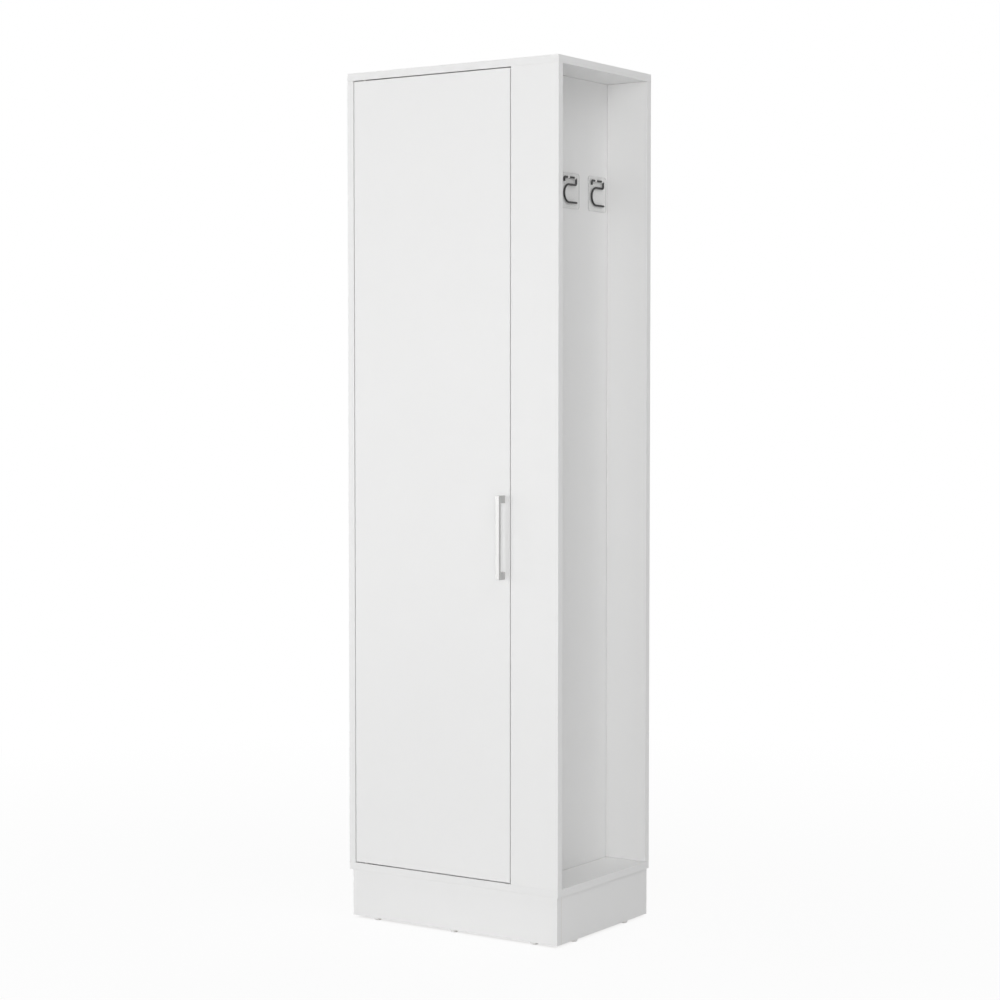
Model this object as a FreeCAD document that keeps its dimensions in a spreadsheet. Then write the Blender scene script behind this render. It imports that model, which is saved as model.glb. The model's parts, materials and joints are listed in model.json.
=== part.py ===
"""Broom cupboard: an inset door beside an open side niche with two swinging wire hooks.

All lengths are in millimetres. X runs to the right, Y to the back and Z up. The origin is on the
floor, under the middle of the whole object, its handle included. Every driving size is a cell of
the sheet "Sizes", and the pieces are bound to those cells by expressions.
"""
import FreeCAD, Part
import math
import os

import Sketcher

Vector = FreeCAD.Vector
document = FreeCAD.newDocument("BroomCupboard")
sheet = document.addObject("Spreadsheet::Sheet", "Sizes")

RIGHT, LEFT = (1, 0, 0), (-1, 0, 0)
BACKWARD, FORWARD = (0, 1, 0), (0, -1, 0)
UP, DOWN = (0, 0, 1), (0, 0, -1)


# ---------------------------------------------------------------- sizes and how they are bound

class Size:
    """A length worked out from the sheet: its formula, for FreeCAD, and its present value."""

    def __init__(self, formula, value):
        self.formula = formula
        self.value = value

    def __add__(self, other):
        return Size(f"({self.formula} + {formula_of(other)})", self.value + value_of(other))

    def __sub__(self, other):
        return Size(f"({self.formula} - {formula_of(other)})", self.value - value_of(other))

    def __mul__(self, factor):
        return Size(f"({self.formula} * {formula_of(factor)})", self.value * value_of(factor))

    def __truediv__(self, divisor):
        return Size(f"({self.formula} / {formula_of(divisor)})", self.value / value_of(divisor))

    def __neg__(self):
        return Size(f"(-1 * {self.formula})", -self.value)


def formula_of(amount):
    return amount.formula if isinstance(amount, Size) else repr(amount)


def value_of(amount):
    return amount.value if isinstance(amount, Size) else amount


ZERO = Size("0", 0.0)
sheet_row = 0


def cell(alias, number, meaning):
    """Writes one driving size into the sheet and returns it."""
    global sheet_row
    sheet_row += 1
    sheet.set(f"A{sheet_row}", meaning)
    sheet.set(f"B{sheet_row}", str(number))
    sheet.setAlias(f"B{sheet_row}", alias)
    return Size(f"Sizes.{alias}", float(number))


def bind(piece, name, amount):
    piece.setExpression(name, formula_of(amount))


def put(piece, point):
    """Binds the place of a piece's own origin."""
    for axis, amount in zip("xyz", point):
        bind(piece, f"Placement.Base.{axis}", amount)


def opposite(direction):
    return tuple(-part for part in direction)


def moved(point, direction, distance):
    """The point a distance further along one of the six directions."""
    return tuple(
        place if step == 0 else (place + distance if step > 0 else place - distance)
        for place, step in zip(point, direction)
    )


def turned(z_to, x_to=None):
    """The rotation that takes local Z to one direction and, where given, local X to another."""
    if x_to is None:
        return FreeCAD.Rotation(Vector(0, 0, 1), Vector(*z_to))
    z_axis, x_axis = Vector(*z_to), Vector(*x_to)
    return FreeCAD.Rotation(x_axis, z_axis.cross(x_axis), z_axis, "ZXY")


# Carcass
overall_width = cell("overall_width", 500, "width over the left side and the open niche")
overall_depth = cell("overall_depth", 345, "depth of the carcass")
overall_height = cell("overall_height", 1700, "height from the floor")
board = cell("board_thickness", 15, "every melamine board")
niche_width = cell("niche_width", 93, "from the open right side to the partition")

# Plinth and glides
glide_height = cell("glide_height", 5, "glide under the plinth")
glide_radius = cell("glide_radius", 7.5, "glide")
glide_rounding = cell("glide_rounding", 1.2, "rounded foot of a glide")
nail_radius = cell("glide_nail_radius", 1, "nail of a glide")
nail_length = cell("glide_nail_length", 12, "nail of a glide")
nail_clearance = cell("glide_nail_clearance", 0.1, "nail in its board, radial and at its end")
plinth_height = cell("plinth_height", 94, "plinth boards")
plinth_side_recess = cell("plinth_side_recess", 5, "plinth behind the left and right sides")
plinth_front_recess = cell("plinth_front_recess", 6, "plinth behind the front")
front_glide_inset = cell("front_glide_inset", 62, "outer front glides from the sides")
side_glide_spacing = cell("side_glide_spacing", 190, "between the two glides of a side board")
bracket_leg = cell("bracket_leg", 30, "corner bracket, each way")
bracket_wall = cell("bracket_wall", 3, "corner bracket wall")

# Back sheet of the closed compartment
sheet_thickness = cell("back_sheet_thickness", 3, "hardboard back of the closed compartment")
groove_depth = cell("groove_depth", 7, "groove for the back sheet")
groove_play = cell("groove_play", 0.3, "back sheet in its groove")
groove_inset = cell("groove_inset", 12, "from the back edge to the groove")

# Shelves and their pins
shelf_setback = cell("shelf_setback", 35, "shelf edge behind the front of the carcass")
shelf_side_play = cell("shelf_side_play", 1, "loose shelf to each side")
shelf_back_play = cell("shelf_back_play", 2, "shelf to the back sheet")
pin_radius = cell("shelf_pin_radius", 2.5, "bore of a shelf pin")
pin_play = cell("shelf_pin_play", 0.05, "peg in its bore, radial")
pin_depth = cell("shelf_pin_depth", 8, "peg of a shelf pin")
pin_end_play = cell("shelf_pin_end_play", 0.5, "bore deeper than the peg")
pin_reach = cell("shelf_pin_reach", 8, "paddle of a shelf pin, out of the board")
paddle_width = cell("paddle_width", 8, "paddle of a shelf pin")
paddle_rise = cell("paddle_rise", 2.5, "top of the paddle over the peg's axis")
paddle_height = cell("paddle_height", 4, "paddle of a shelf pin")
pin_pitch = cell("shelf_pin_pitch", 32, "between shelf positions")
pin_inset = cell("shelf_pin_inset", 40, "pins from the shelf's front and back edges")

# Knock-down joints
cam_distance = cell("cam_distance", 24, "cam axis from the joint")
cam_radius = cell("cam_radius", 7.3, "cam")
cam_height = cell("cam_height", 12, "cam")
cam_play = cell("cam_play", 0.2, "cam in its bore, radial")
cam_end_play = cell("cam_end_play", 0.5, "cam bore deeper than the cam")
cam_slot_width = cell("cam_slot_width", 1.6, "screwdriver cross in a cam")
cam_slot_length = cell("cam_slot_length", 9, "screwdriver cross in a cam")
cam_slot_depth = cell("cam_slot_depth", 2, "screwdriver cross in a cam")
bolt_radius = cell("bolt_radius", 3, "cam bolt")
bolt_neck_radius = cell("bolt_neck_radius", 1.8, "neck of a cam bolt")
bolt_neck_length = cell("bolt_neck_length", 5, "neck of a cam bolt")
bolt_head_length = cell("bolt_head_length", 3, "head of a cam bolt")
bolt_thread = cell("bolt_thread_length", 11, "cam bolt in the face of a board")
bolt_play = cell("bolt_play", 0.6, "cam bolt in the edge bore and in the cam, radial")
joint_play = cell("joint_play", 0.05, "threads and dowels in their bores, radial")
end_play = cell("joint_end_play", 0.5, "joint bores deeper than what they hold")
dowel_radius = cell("dowel_radius", 3.95, "wooden dowel")
dowel_in_face = cell("dowel_in_face", 10, "dowel in the face of a board")
dowel_in_edge = cell("dowel_in_edge", 20, "dowel in the edge of a board")
front_joint_inset = cell("front_joint_inset", 50, "first cam from the front")
back_joint_inset = cell("back_joint_inset", 60, "last cam from the back")
dowel_offset = cell("dowel_offset", 35, "dowel from its cam")
seam_dowel_inset = cell("seam_dowel_inset", 185, "outer dowels of a long seam, from its ends")

# Door and pivot hinges
door_gap = cell("door_gap", 2, "gap round the door")
pivot_from_edge = cell("pivot_from_edge", 22, "pivot axis from the door's left edge")
leaf_length = cell("leaf_length", 60, "pivot leaf, between the centres of its ends")
leaf_width = cell("leaf_width", 9, "pivot leaf")
leaf_thickness = cell("leaf_thickness", 2.5, "pivot leaf")
pivot_radius = cell("pivot_radius", 2.5, "pivot pin")
pivot_play = cell("pivot_play", 0.05, "pivot pin in the door leaf, radial")
pivot_tail = cell("pivot_tail", 8, "pivot pin beyond the door leaf")
pivot_tail_play = cell("pivot_tail_play", 0.5, "pivot pin in the door, radial and at its end")
washer_radius = cell("washer_radius", 4.4, "washer between the leaves")
washer_play = cell("washer_play", 0.1, "washer to the pin and to the door leaf")
leaf_screw_first = cell("leaf_screw_first", 28, "first leaf screw from the pivot")
leaf_screw_pitch = cell("leaf_screw_pitch", 24, "between the leaf screws")
leaf_head_radius = cell("leaf_head_radius", 3.3, "countersunk head of a leaf screw")
leaf_shank_radius = cell("leaf_shank_radius", 1.5, "leaf screw")
leaf_screw_length = cell("leaf_screw_length", 14, "leaf screw")
screw_play = cell("screw_play", 0.1, "screws in their holes, radial")

# Handle
handle_length = cell("handle_length", 162, "bar handle, overall")
handle_width = cell("handle_width", 8, "bar handle, across")
handle_bar = cell("handle_bar", 6.5, "thickness of the bar")
handle_post = cell("handle_post", 14.5, "height of each post")
handle_reach = cell("handle_reach", 21.5, "front of the bar from the door")
handle_from_edge = cell("handle_from_edge", 15, "middle of the bar from the door's right edge")
handle_middle = cell("handle_middle", 786, "middle of the handle over the floor")
handle_rounding = cell("handle_rounding", 0.8, "rounded edges of the handle")
handle_screw_radius = cell("handle_screw_radius", 2, "handle screw")
handle_screw_grip = cell("handle_screw_grip", 8, "handle screw in its post")
handle_head_radius = cell("handle_head_radius", 4, "head of a handle screw")
handle_head_height = cell("handle_head_height", 2.5, "head of a handle screw")

# Magnetic catches
catch_inset = cell("catch_inset", 85, "catches from the floor and ceiling of the compartment")
catch_depth = cell("catch_depth", 18, "catch housing, front to back")
catch_width = cell("catch_width", 14, "catch housing, across, without its flange")
catch_height = cell("catch_height", 40, "catch housing")
flange_height = cell("catch_flange_height", 62, "mounting flange of a catch")
flange_thickness = cell("catch_flange_thickness", 2, "mounting flange of a catch")
flange_screw_inset = cell("catch_flange_screw_inset", 5, "flange screws from its ends")
magnet_width = cell("magnet_width", 10, "magnet with its pole plates, across")
magnet_height = cell("magnet_height", 30, "magnet with its pole plates")
magnet_depth = cell("magnet_depth", 8, "magnet with its pole plates, front to back")
magnet_proud = cell("magnet_proud", 0.7, "poles in front of the housing")
magnet_play = cell("magnet_play", 0.2, "magnet in its pocket, all round")
catch_gap = cell("catch_gap", 0.3, "poles to the strike plate, door shut")
strike_width = cell("strike_width", 10, "strike plate")
strike_height = cell("strike_height", 56, "strike plate")
strike_thickness = cell("strike_thickness", 1, "strike plate")
strike_screw_inset = cell("strike_screw_inset", 4, "strike screws from its ends")
small_screw_radius = cell("small_screw_radius", 1.5, "screws of the catches and strike plates")
small_head_radius = cell("small_head_radius", 2.75, "heads of those screws")
small_head_height = cell("small_head_height", 1.6, "heads of those screws")
small_screw_length = cell("small_screw_length", 12, "those screws under the head")

# Hook plates and wire hooks
hook_plate_width = cell("hook_plate_width", 68, "adhesive plate, front to back")
hook_plate_height = cell("hook_plate_height", 70, "adhesive plate")
hook_plate_thickness = cell("hook_plate_thickness", 1.2, "adhesive plate")
hook_plate_corner = cell("hook_plate_corner", 6, "corner radius of the plate")
hook_plate_drop = cell("hook_plate_drop", 223, "middle of the plates under the ceiling")
rear_plate_inset = cell("rear_plate_inset", 55, "middle of the rear plate from the back of the carcass")
hook_pitch = cell("hook_pitch", 102.5, "between the two hook plates")
wire_radius = cell("wire_radius", 2, "hook wire")
wire_gap = cell("wire_gap", 0.3, "hook wire in front of its plate")
clip_play = cell("clip_play", 0.08, "hook wire in its clips, radial")
clip_wall = cell("clip_wall", 1.2, "clip over the wire")
clip_width = cell("clip_width", 5, "clip along the wire")
clip_offset = cell("clip_offset", 12.5, "clips from the middle of the plate")
crossbar_rise = cell("crossbar_rise", 26, "crossbar over the middle of the plate")
front_leg_offset = cell("front_leg_offset", 25, "short front leg from the middle of the plate")
front_leg_drop = cell("front_leg_drop", 9, "end of the front leg under the crossbar")
rear_leg_offset = cell("rear_leg_offset", 18.5, "rear leg from the middle of the plate")
rear_leg_drop = cell("rear_leg_drop", 14, "foot of the rear leg under the crossbar")
bowl_offset = cell("bowl_offset", 8, "axis of the round bend from the middle of the plate, forwards")
bowl_radius = cell("bowl_radius", 17.5, "round bend of the hook")
tip_offset = cell("tip_offset", 21, "end of the lower run from the middle of the plate")
wire_bend = cell("wire_bend", 3, "small bends of the hook wire")

document.recompute()

# Planes that several pieces share
side_right = overall_width / 2
side_left = -side_right
left_inner = side_left + board
niche_left = side_right - niche_width
partition_left = niche_left - board
front = (handle_reach - overall_depth) / 2
back = front + overall_depth
middle = front + overall_depth / 2
front_inner = front + board
back_inner = back - board
plinth_top = glide_height + plinth_height
floor_top = plinth_top + board
ceiling = overall_height - board
inner_height = ceiling - floor_top
groove_back = back - groove_inset
groove_front = groove_back - sheet_thickness - groove_play
shelf_front = front + shelf_setback
shelf_back = groove_front - shelf_back_play


# ---------------------------------------------------------------- shapes used again and again

def block(name, corner, lengths):
    """A box from its lowest corner."""
    solid = document.addObject("Part::Box", name)
    for side, length in zip(("Length", "Width", "Height"), lengths):
        bind(solid, side, length)
    put(solid, corner)
    return solid


def rod(name, start, direction, radius, length):
    """A cylinder from the middle of one end."""
    solid = document.addObject("Part::Cylinder", name)
    solid.Placement = FreeCAD.Placement(Vector(), turned(direction))
    bind(solid, "Radius", radius)
    bind(solid, "Height", length)
    put(solid, start)
    return solid


def countersink(name, start, direction, mouth_radius, inner_radius, depth):
    """The cone that a countersunk head sits in, from its mouth."""
    solid = document.addObject("Part::Cone", name)
    solid.Placement = FreeCAD.Placement(Vector(), turned(direction))
    bind(solid, "Radius1", mouth_radius)
    bind(solid, "Radius2", inner_radius)
    bind(solid, "Height", depth)
    put(solid, start)
    return solid


def fused(name, solids):
    union = document.addObject("Part::MultiFuse", name)
    union.Shapes = solids
    return union


def cut(name, base, tools):
    """The base less its tools, which may overlap each other."""
    difference = document.addObject("Part::Cut", name)
    difference.Base = base
    difference.Tool = tools[0] if len(tools) == 1 else fused(name + "_tools", tools)
    return difference


def rounded(name, base, radius, is_chosen):
    """The base with a fillet on each edge that the test chooses."""
    document.recompute()
    fillet = document.addObject("Part::Fillet", name)
    fillet.Base = base
    chosen = [i for i, edge in enumerate(base.Shape.Edges, 1) if is_chosen(edge)]
    fillet.Edges = [(i, radius.value, radius.value) for i in chosen]
    return fillet


def runs_along(axis):
    """A test for straight edges along X, Y or Z."""
    def test(edge):
        if edge.Curve.TypeId != "Part::GeomLine":
            return False
        direction = edge.Curve.Direction
        return abs(abs(getattr(direction, axis)) - 1) < 1e-6
    return test


def origin_plane(body, role):
    return [feature for feature in body.Origin.OriginFeatures if feature.Role == role][0]


def pin_point(sketch, geometry, point_number, name, across, up):
    """Binds one point of a sketch to its two distances from the sketch's origin."""
    for kind, letter, amount in (("DistanceX", "u", across), ("DistanceY", "v", up)):
        constraint = Sketcher.Constraint(kind, -1, 1, geometry, point_number, value_of(amount))
        index = sketch.addConstraint(constraint)
        sketch.renameConstraint(index, f"{name}_{letter}")
        sketch.setExpression(f"Constraints.{name}_{letter}", formula_of(amount))


def outline_sketch(body, name, role, corners):
    """A closed outline of straight lines through named corners, on a plane of its own body."""
    sketch = body.newObject("Sketcher::SketchObject", name)
    sketch.AttachmentSupport = [(origin_plane(body, role), "")]
    sketch.MapMode = "FlatFace"
    points = [Vector(value_of(across), value_of(up), 0) for across, up in corners]
    for start, end in zip(points, points[1:] + points[:1]):
        sketch.addGeometry(Part.LineSegment(start, end), False)
    count = len(points)
    for number in range(count):
        sketch.addConstraint(Sketcher.Constraint("Coincident", number, 2, (number + 1) % count, 1))
    for number, (across, up) in enumerate(corners):
        pin_point(sketch, number, 1, f"corner{number}", across, up)
    return sketch


def turned_body(name, profile):
    """A turned piece: a body revolved about its own Z axis from (radius, height) corners."""
    body = document.addObject("PartDesign::Body", name)
    sketch = outline_sketch(body, name + "_profile", "XZ_Plane", profile)
    revolution = body.newObject("PartDesign::Revolution", name + "_turned")
    revolution.Profile = sketch
    revolution.ReferenceAxis = (sketch, ["V_Axis"])
    revolution.Angle = 360
    return body


def copy_of(master, name, point, rotation):
    """Another one of a piece that is modelled once."""
    link = document.addObject("App::Link", name)
    link.LinkedObject = master
    link.LinkTransform = True
    link.Placement = FreeCAD.Placement(Vector(), rotation)
    put(link, point)
    return link


nodes = []


def node(label, piece):
    """Names a finished sub-part."""
    piece.Label = label
    nodes.append(piece)


def group(label, pieces):
    """One sub-part made of like pieces that stay separate solids."""
    compound = document.addObject("Part::Compound", label)
    compound.Links = pieces
    node(label, compound)


# ---------------------------------------------------------------- boards

blanks = {}
cuts = {}


def board_blank(label, corner, lengths):
    blanks[label] = block(label + "_blank", corner, lengths)
    cuts[label] = []


def bore(label, start, direction, radius, depth):
    """Drills a board. The start is the middle of the bore's mouth."""
    name = f"{label}_bore{len(cuts[label])}"
    cuts[label].append(rod(name, start, direction, radius, depth))


def rout(label, corner, lengths):
    """Routs a square-cornered recess or groove in a board."""
    cuts[label].append(block(f"{label}_rout{len(cuts[label])}", corner, lengths))


def finish_boards():
    for label, blank in blanks.items():
        node(label, cut(label, blank, cuts[label]) if cuts[label] else blank)


panel_size = (overall_width, overall_depth, board)
compartment_width = partition_left - left_inner
shelf_depth = shelf_back - shelf_front
shelf_names = ["adjustable_shelf_1", "fixed_shelf", "adjustable_shelf_2", "adjustable_shelf_3"]
shelf_space = (inner_height - board * len(shelf_names)) / (len(shelf_names) + 1)
shelf_under = {
    name: floor_top + shelf_space * (number + 1) + board * number
    for number, name in enumerate(shelf_names)
}


def make_boards():
    board_blank("top_panel", (side_left, front, ceiling), panel_size)
    board_blank("bottom_panel", (side_left, front, plinth_top), panel_size)
    board_blank("left_side_panel", (side_left, front, floor_top), (board, overall_depth, inner_height))
    board_blank("partition_panel", (partition_left, front_inner, floor_top),
                (board, overall_depth - board, inner_height))
    board_blank("fixed_front_panel", (partition_left, front, floor_top),
                (niche_width + board, board, inner_height))
    board_blank("niche_back_panel", (niche_left, back_inner, floor_top),
                (niche_width, board, inner_height))
    for name in shelf_names:
        play = ZERO if name == "fixed_shelf" else shelf_side_play
        board_blank(name, (left_inner + play, shelf_front, shelf_under[name]),
                    (compartment_width - play * 2, shelf_depth, board))
    board_blank("door_panel", (left_inner + door_gap, front, floor_top + door_gap),
                (compartment_width - door_gap * 2, board, inner_height - door_gap * 2))


# ---------------------------------------------------------------- plinth, glides and back sheet

plinth_front_face = front + plinth_front_recess
plinth_right_face = side_right - plinth_side_recess
plinth_left_face = -plinth_right_face
plinth_side_length = back_inner - plinth_front_face - board


def make_plinth():
    full = (plinth_right_face * 2, board, plinth_height)
    side = (board, plinth_side_length, plinth_height)
    board_blank("plinth_front", (plinth_left_face, plinth_front_face, glide_height), full)
    board_blank("plinth_back", (plinth_left_face, back_inner, glide_height), full)
    board_blank("plinth_left", (plinth_left_face, plinth_front_face + board, glide_height), side)
    board_blank("plinth_right",
                (plinth_right_face - board, plinth_front_face + board, glide_height), side)

    # A corner bracket: three walls that meet in its local origin, open downwards and inwards.
    body = block("bracket_block", (ZERO, ZERO, -bracket_leg), (bracket_leg, bracket_leg, bracket_leg))
    hollow = block("bracket_hollow", (bracket_wall, bracket_wall, -bracket_leg),
                   (bracket_leg, bracket_leg, bracket_leg - bracket_wall))
    bracket = cut("bracket_master", body, [hollow])
    left, right = plinth_left_face + board, plinth_right_face - board
    near, far = plinth_front_face + board, back_inner
    corners = [(left, near, RIGHT), (right, near, BACKWARD), (right, far, LEFT), (left, far, FORWARD)]
    group("plinth_brackets", [
        copy_of(bracket, f"bracket{number}", (x, y, plinth_top), turned(UP, inwards))
        for number, (x, y, inwards) in enumerate(corners)
    ])


def make_glides():
    glide = turned_body("glide_master", [
        (ZERO, ZERO),
        (glide_radius - glide_rounding, ZERO),
        (glide_radius, glide_rounding),
        (glide_radius, glide_height),
        (nail_radius, glide_height),
        (nail_radius, glide_height + nail_length),
        (ZERO, glide_height + nail_length),
    ])
    front_line = plinth_front_face + board / 2
    back_line = back - board / 2
    side_line = plinth_right_face - board / 2
    outer = side_right - front_glide_inset
    places = [("plinth_front", x, front_line) for x in (-outer, ZERO, outer)]
    places += [("plinth_back", x, back_line) for x in (-outer, ZERO, outer)]
    for y in (middle - side_glide_spacing / 2, middle + side_glide_spacing / 2):
        places += [("plinth_left", -side_line, y), ("plinth_right", side_line, y)]
    glides = []
    for number, (label, x, y) in enumerate(places):
        glides.append(copy_of(glide, f"glide{number}", (x, y, ZERO), turned(UP)))
        bore(label, (x, y, glide_height), UP, nail_radius + nail_clearance, nail_length + nail_clearance)
    group("floor_glides", glides)


def make_back_sheet():
    """Hardboard that slides in a groove of the side, the partition and both long panels."""
    groove_width = sheet_thickness + groove_play
    inside = groove_depth - groove_play
    width = compartment_width + groove_depth * 2
    rout("left_side_panel", (left_inner - groove_depth, groove_front, floor_top),
         (groove_depth, groove_width, inner_height))
    rout("partition_panel", (partition_left, groove_front, floor_top),
         (groove_depth, groove_width, inner_height))
    rout("bottom_panel", (left_inner - groove_depth, groove_front, floor_top - groove_depth),
         (width, groove_width, groove_depth))
    rout("top_panel", (left_inner - groove_depth, groove_front, ceiling),
         (width, groove_width, groove_depth))
    sheet_panel = block(
        "back_sheet", (left_inner - inside, groove_front, floor_top - inside),
        (compartment_width + inside * 2, sheet_thickness, inner_height + inside * 2))
    node("compartment_back_sheet", sheet_panel)


# ---------------------------------------------------------------- knock-down joints

cams = []
bolts = []
dowels = []


def make_cam_master():
    """A cam with its mouth at local Z 0, the bolt's way in along local X, and a driver cross."""
    drum = rod("cam_drum", (ZERO, ZERO, ZERO), UP, cam_radius, cam_height)
    bolt_way = rod("cam_bolt_way", (-bolt_radius, ZERO, board / 2), RIGHT,
                   bolt_radius + bolt_play, cam_radius * 2)
    half_length, half_width = cam_slot_length / 2, cam_slot_width / 2
    slot = block("cam_slot", (-half_length, -half_width, ZERO),
                 (cam_slot_length, cam_slot_width, cam_slot_depth))
    cross = block("cam_cross", (-half_width, -half_length, ZERO),
                  (cam_slot_width, cam_slot_length, cam_slot_depth))
    return cut("cam_master", drum, [bolt_way, slot, cross])


def make_bolt_master():
    """A cam bolt along local Z, its thread below the joint and its head in the cam above it."""
    head_end = cam_distance + bolt_head_length / 2
    head_start = head_end - bolt_head_length
    neck_start = head_start - bolt_neck_length
    return turned_body("bolt_master", [
        (ZERO, -bolt_thread),
        (bolt_radius - joint_play, -bolt_thread),
        (bolt_radius - joint_play, neck_start),
        (bolt_neck_radius, neck_start),
        (bolt_neck_radius, head_start),
        (bolt_radius - joint_play, head_start),
        (bolt_radius - joint_play, head_end),
        (ZERO, head_end),
    ])


def cam_joint(face_label, edge_label, at, inward, cam_side):
    """Joins the edge of one board to the face of another, with the cam let in from cam_side."""
    mouth = moved(moved(at, inward, cam_distance), cam_side, board / 2)
    bore(face_label, at, opposite(inward), bolt_radius, bolt_thread + end_play)
    bore(edge_label, at, inward, bolt_radius + bolt_play, cam_distance)
    bore(edge_label, mouth, opposite(cam_side), cam_radius + cam_play, cam_height + cam_end_play)
    number = len(cams)
    cams.append(copy_of(cam_master, f"cam{number}", mouth, turned(opposite(cam_side), opposite(inward))))
    bolts.append(copy_of(bolt_master, f"bolt{number}", at, turned(inward)))


def dowel_joint(face_label, edge_label, at, inward):
    bore(face_label, at, opposite(inward), dowel_radius + joint_play, dowel_in_face + end_play)
    bore(edge_label, at, inward, dowel_radius + joint_play, dowel_in_edge + end_play)
    start = moved(at, opposite(inward), dowel_in_face)
    dowels.append(rod(f"dowel{len(dowels)}", start, inward, dowel_radius, dowel_in_face + dowel_in_edge))


def make_joints():
    side_middle = side_left + board / 2
    partition_middle = partition_left + board / 2
    front_middle = front + board / 2
    back_middle = back - board / 2
    niche_middle = niche_left + niche_width / 2
    first, last = front + front_joint_inset, back - back_joint_inset
    for face_label, level, inward in (("bottom_panel", floor_top, UP), ("top_panel", ceiling, DOWN)):
        for edge_label, x, cam_side in (
            ("left_side_panel", side_middle, RIGHT),
            ("partition_panel", partition_middle, LEFT),
        ):
            for y, dowel_y in ((first, first + dowel_offset), (last, last - dowel_offset)):
                cam_joint(face_label, edge_label, (x, y, level), inward, cam_side)
                dowel_joint(face_label, edge_label, (x, dowel_y, level), inward)
        cam_joint(face_label, "fixed_front_panel", (niche_middle, front_middle, level), inward, BACKWARD)
        cam_joint(face_label, "niche_back_panel", (niche_middle, back_middle, level), inward, BACKWARD)
    for z in (floor_top + seam_dowel_inset, ceiling - seam_dowel_inset):
        dowel_joint("fixed_front_panel", "partition_panel", (partition_middle, front_inner, z), BACKWARD)
        dowel_joint("partition_panel", "niche_back_panel", (niche_left, back_middle, z), RIGHT)
    shelf_middle = shelf_under["fixed_shelf"] + board / 2
    for face_label, x, inward in (
        ("left_side_panel", left_inner, RIGHT),
        ("partition_panel", partition_left, LEFT),
    ):
        for y in (shelf_front + front_joint_inset, shelf_back - front_joint_inset):
            cam_joint(face_label, "fixed_shelf", (x, y, shelf_middle), inward, DOWN)


def make_shelf_pins():
    """Spoon pins under the loose shelves, with one more position above and below each pin."""
    peg = rod("pin_peg", (ZERO, ZERO, -pin_depth), UP, pin_radius - pin_play, pin_depth)
    paddle = block("pin_paddle", (paddle_rise - paddle_height, -paddle_width / 2, ZERO),
                   (paddle_height, paddle_width, pin_reach))
    pin_master = fused("pin_master", [peg, paddle])
    pins = []
    for name in shelf_names:
        if name == "fixed_shelf":
            continue
        level = shelf_under[name] - paddle_rise
        for label, x, outward in (
            ("left_side_panel", left_inner, RIGHT),
            ("partition_panel", partition_left, LEFT),
        ):
            for y in (shelf_front + pin_inset, shelf_back - pin_inset):
                pins.append(copy_of(pin_master, f"pin{len(pins)}", (x, y, level), turned(outward, UP)))
                for z in (level - pin_pitch, level, level + pin_pitch):
                    bore(label, (x, y, z), opposite(outward), pin_radius, pin_depth + pin_end_play)
    group("shelf_pins", pins)


# ---------------------------------------------------------------- door, pivots, handle, catches

pivot_x = left_inner + door_gap + pivot_from_edge
pivot_y = front + board / 2
door_right = partition_left - door_gap
leaf_screw_places = (leaf_screw_first, leaf_screw_first + leaf_screw_pitch)


def leaf_blank(name, start, up_sign):
    """A strip with round ends that runs to the right from the pivot, for a leaf or its recess."""
    x, y, z = start
    low = z if up_sign > 0 else z - leaf_thickness
    strip = block(name + "_strip", (x, y - leaf_width / 2, low),
                  (leaf_length, leaf_width, leaf_thickness))
    near = rod(name + "_near", (x, y, low), UP, leaf_width / 2, leaf_thickness)
    far = rod(name + "_far", (x + leaf_length, y, low), UP, leaf_width / 2, leaf_thickness)
    return fused(name, [strip, near, far])


def drilled_leaf(name, base, top, more=()):
    """A leaf with its countersunk screw holes, whose mouths are at the height given."""
    holes = [
        countersink(f"{name}_hole{number}", (x, ZERO, top), DOWN, leaf_head_radius + screw_play,
                    leaf_shank_radius + screw_play, leaf_thickness)
        for number, x in enumerate(leaf_screw_places)
    ]
    return cut(name, base, holes + list(more))


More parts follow.
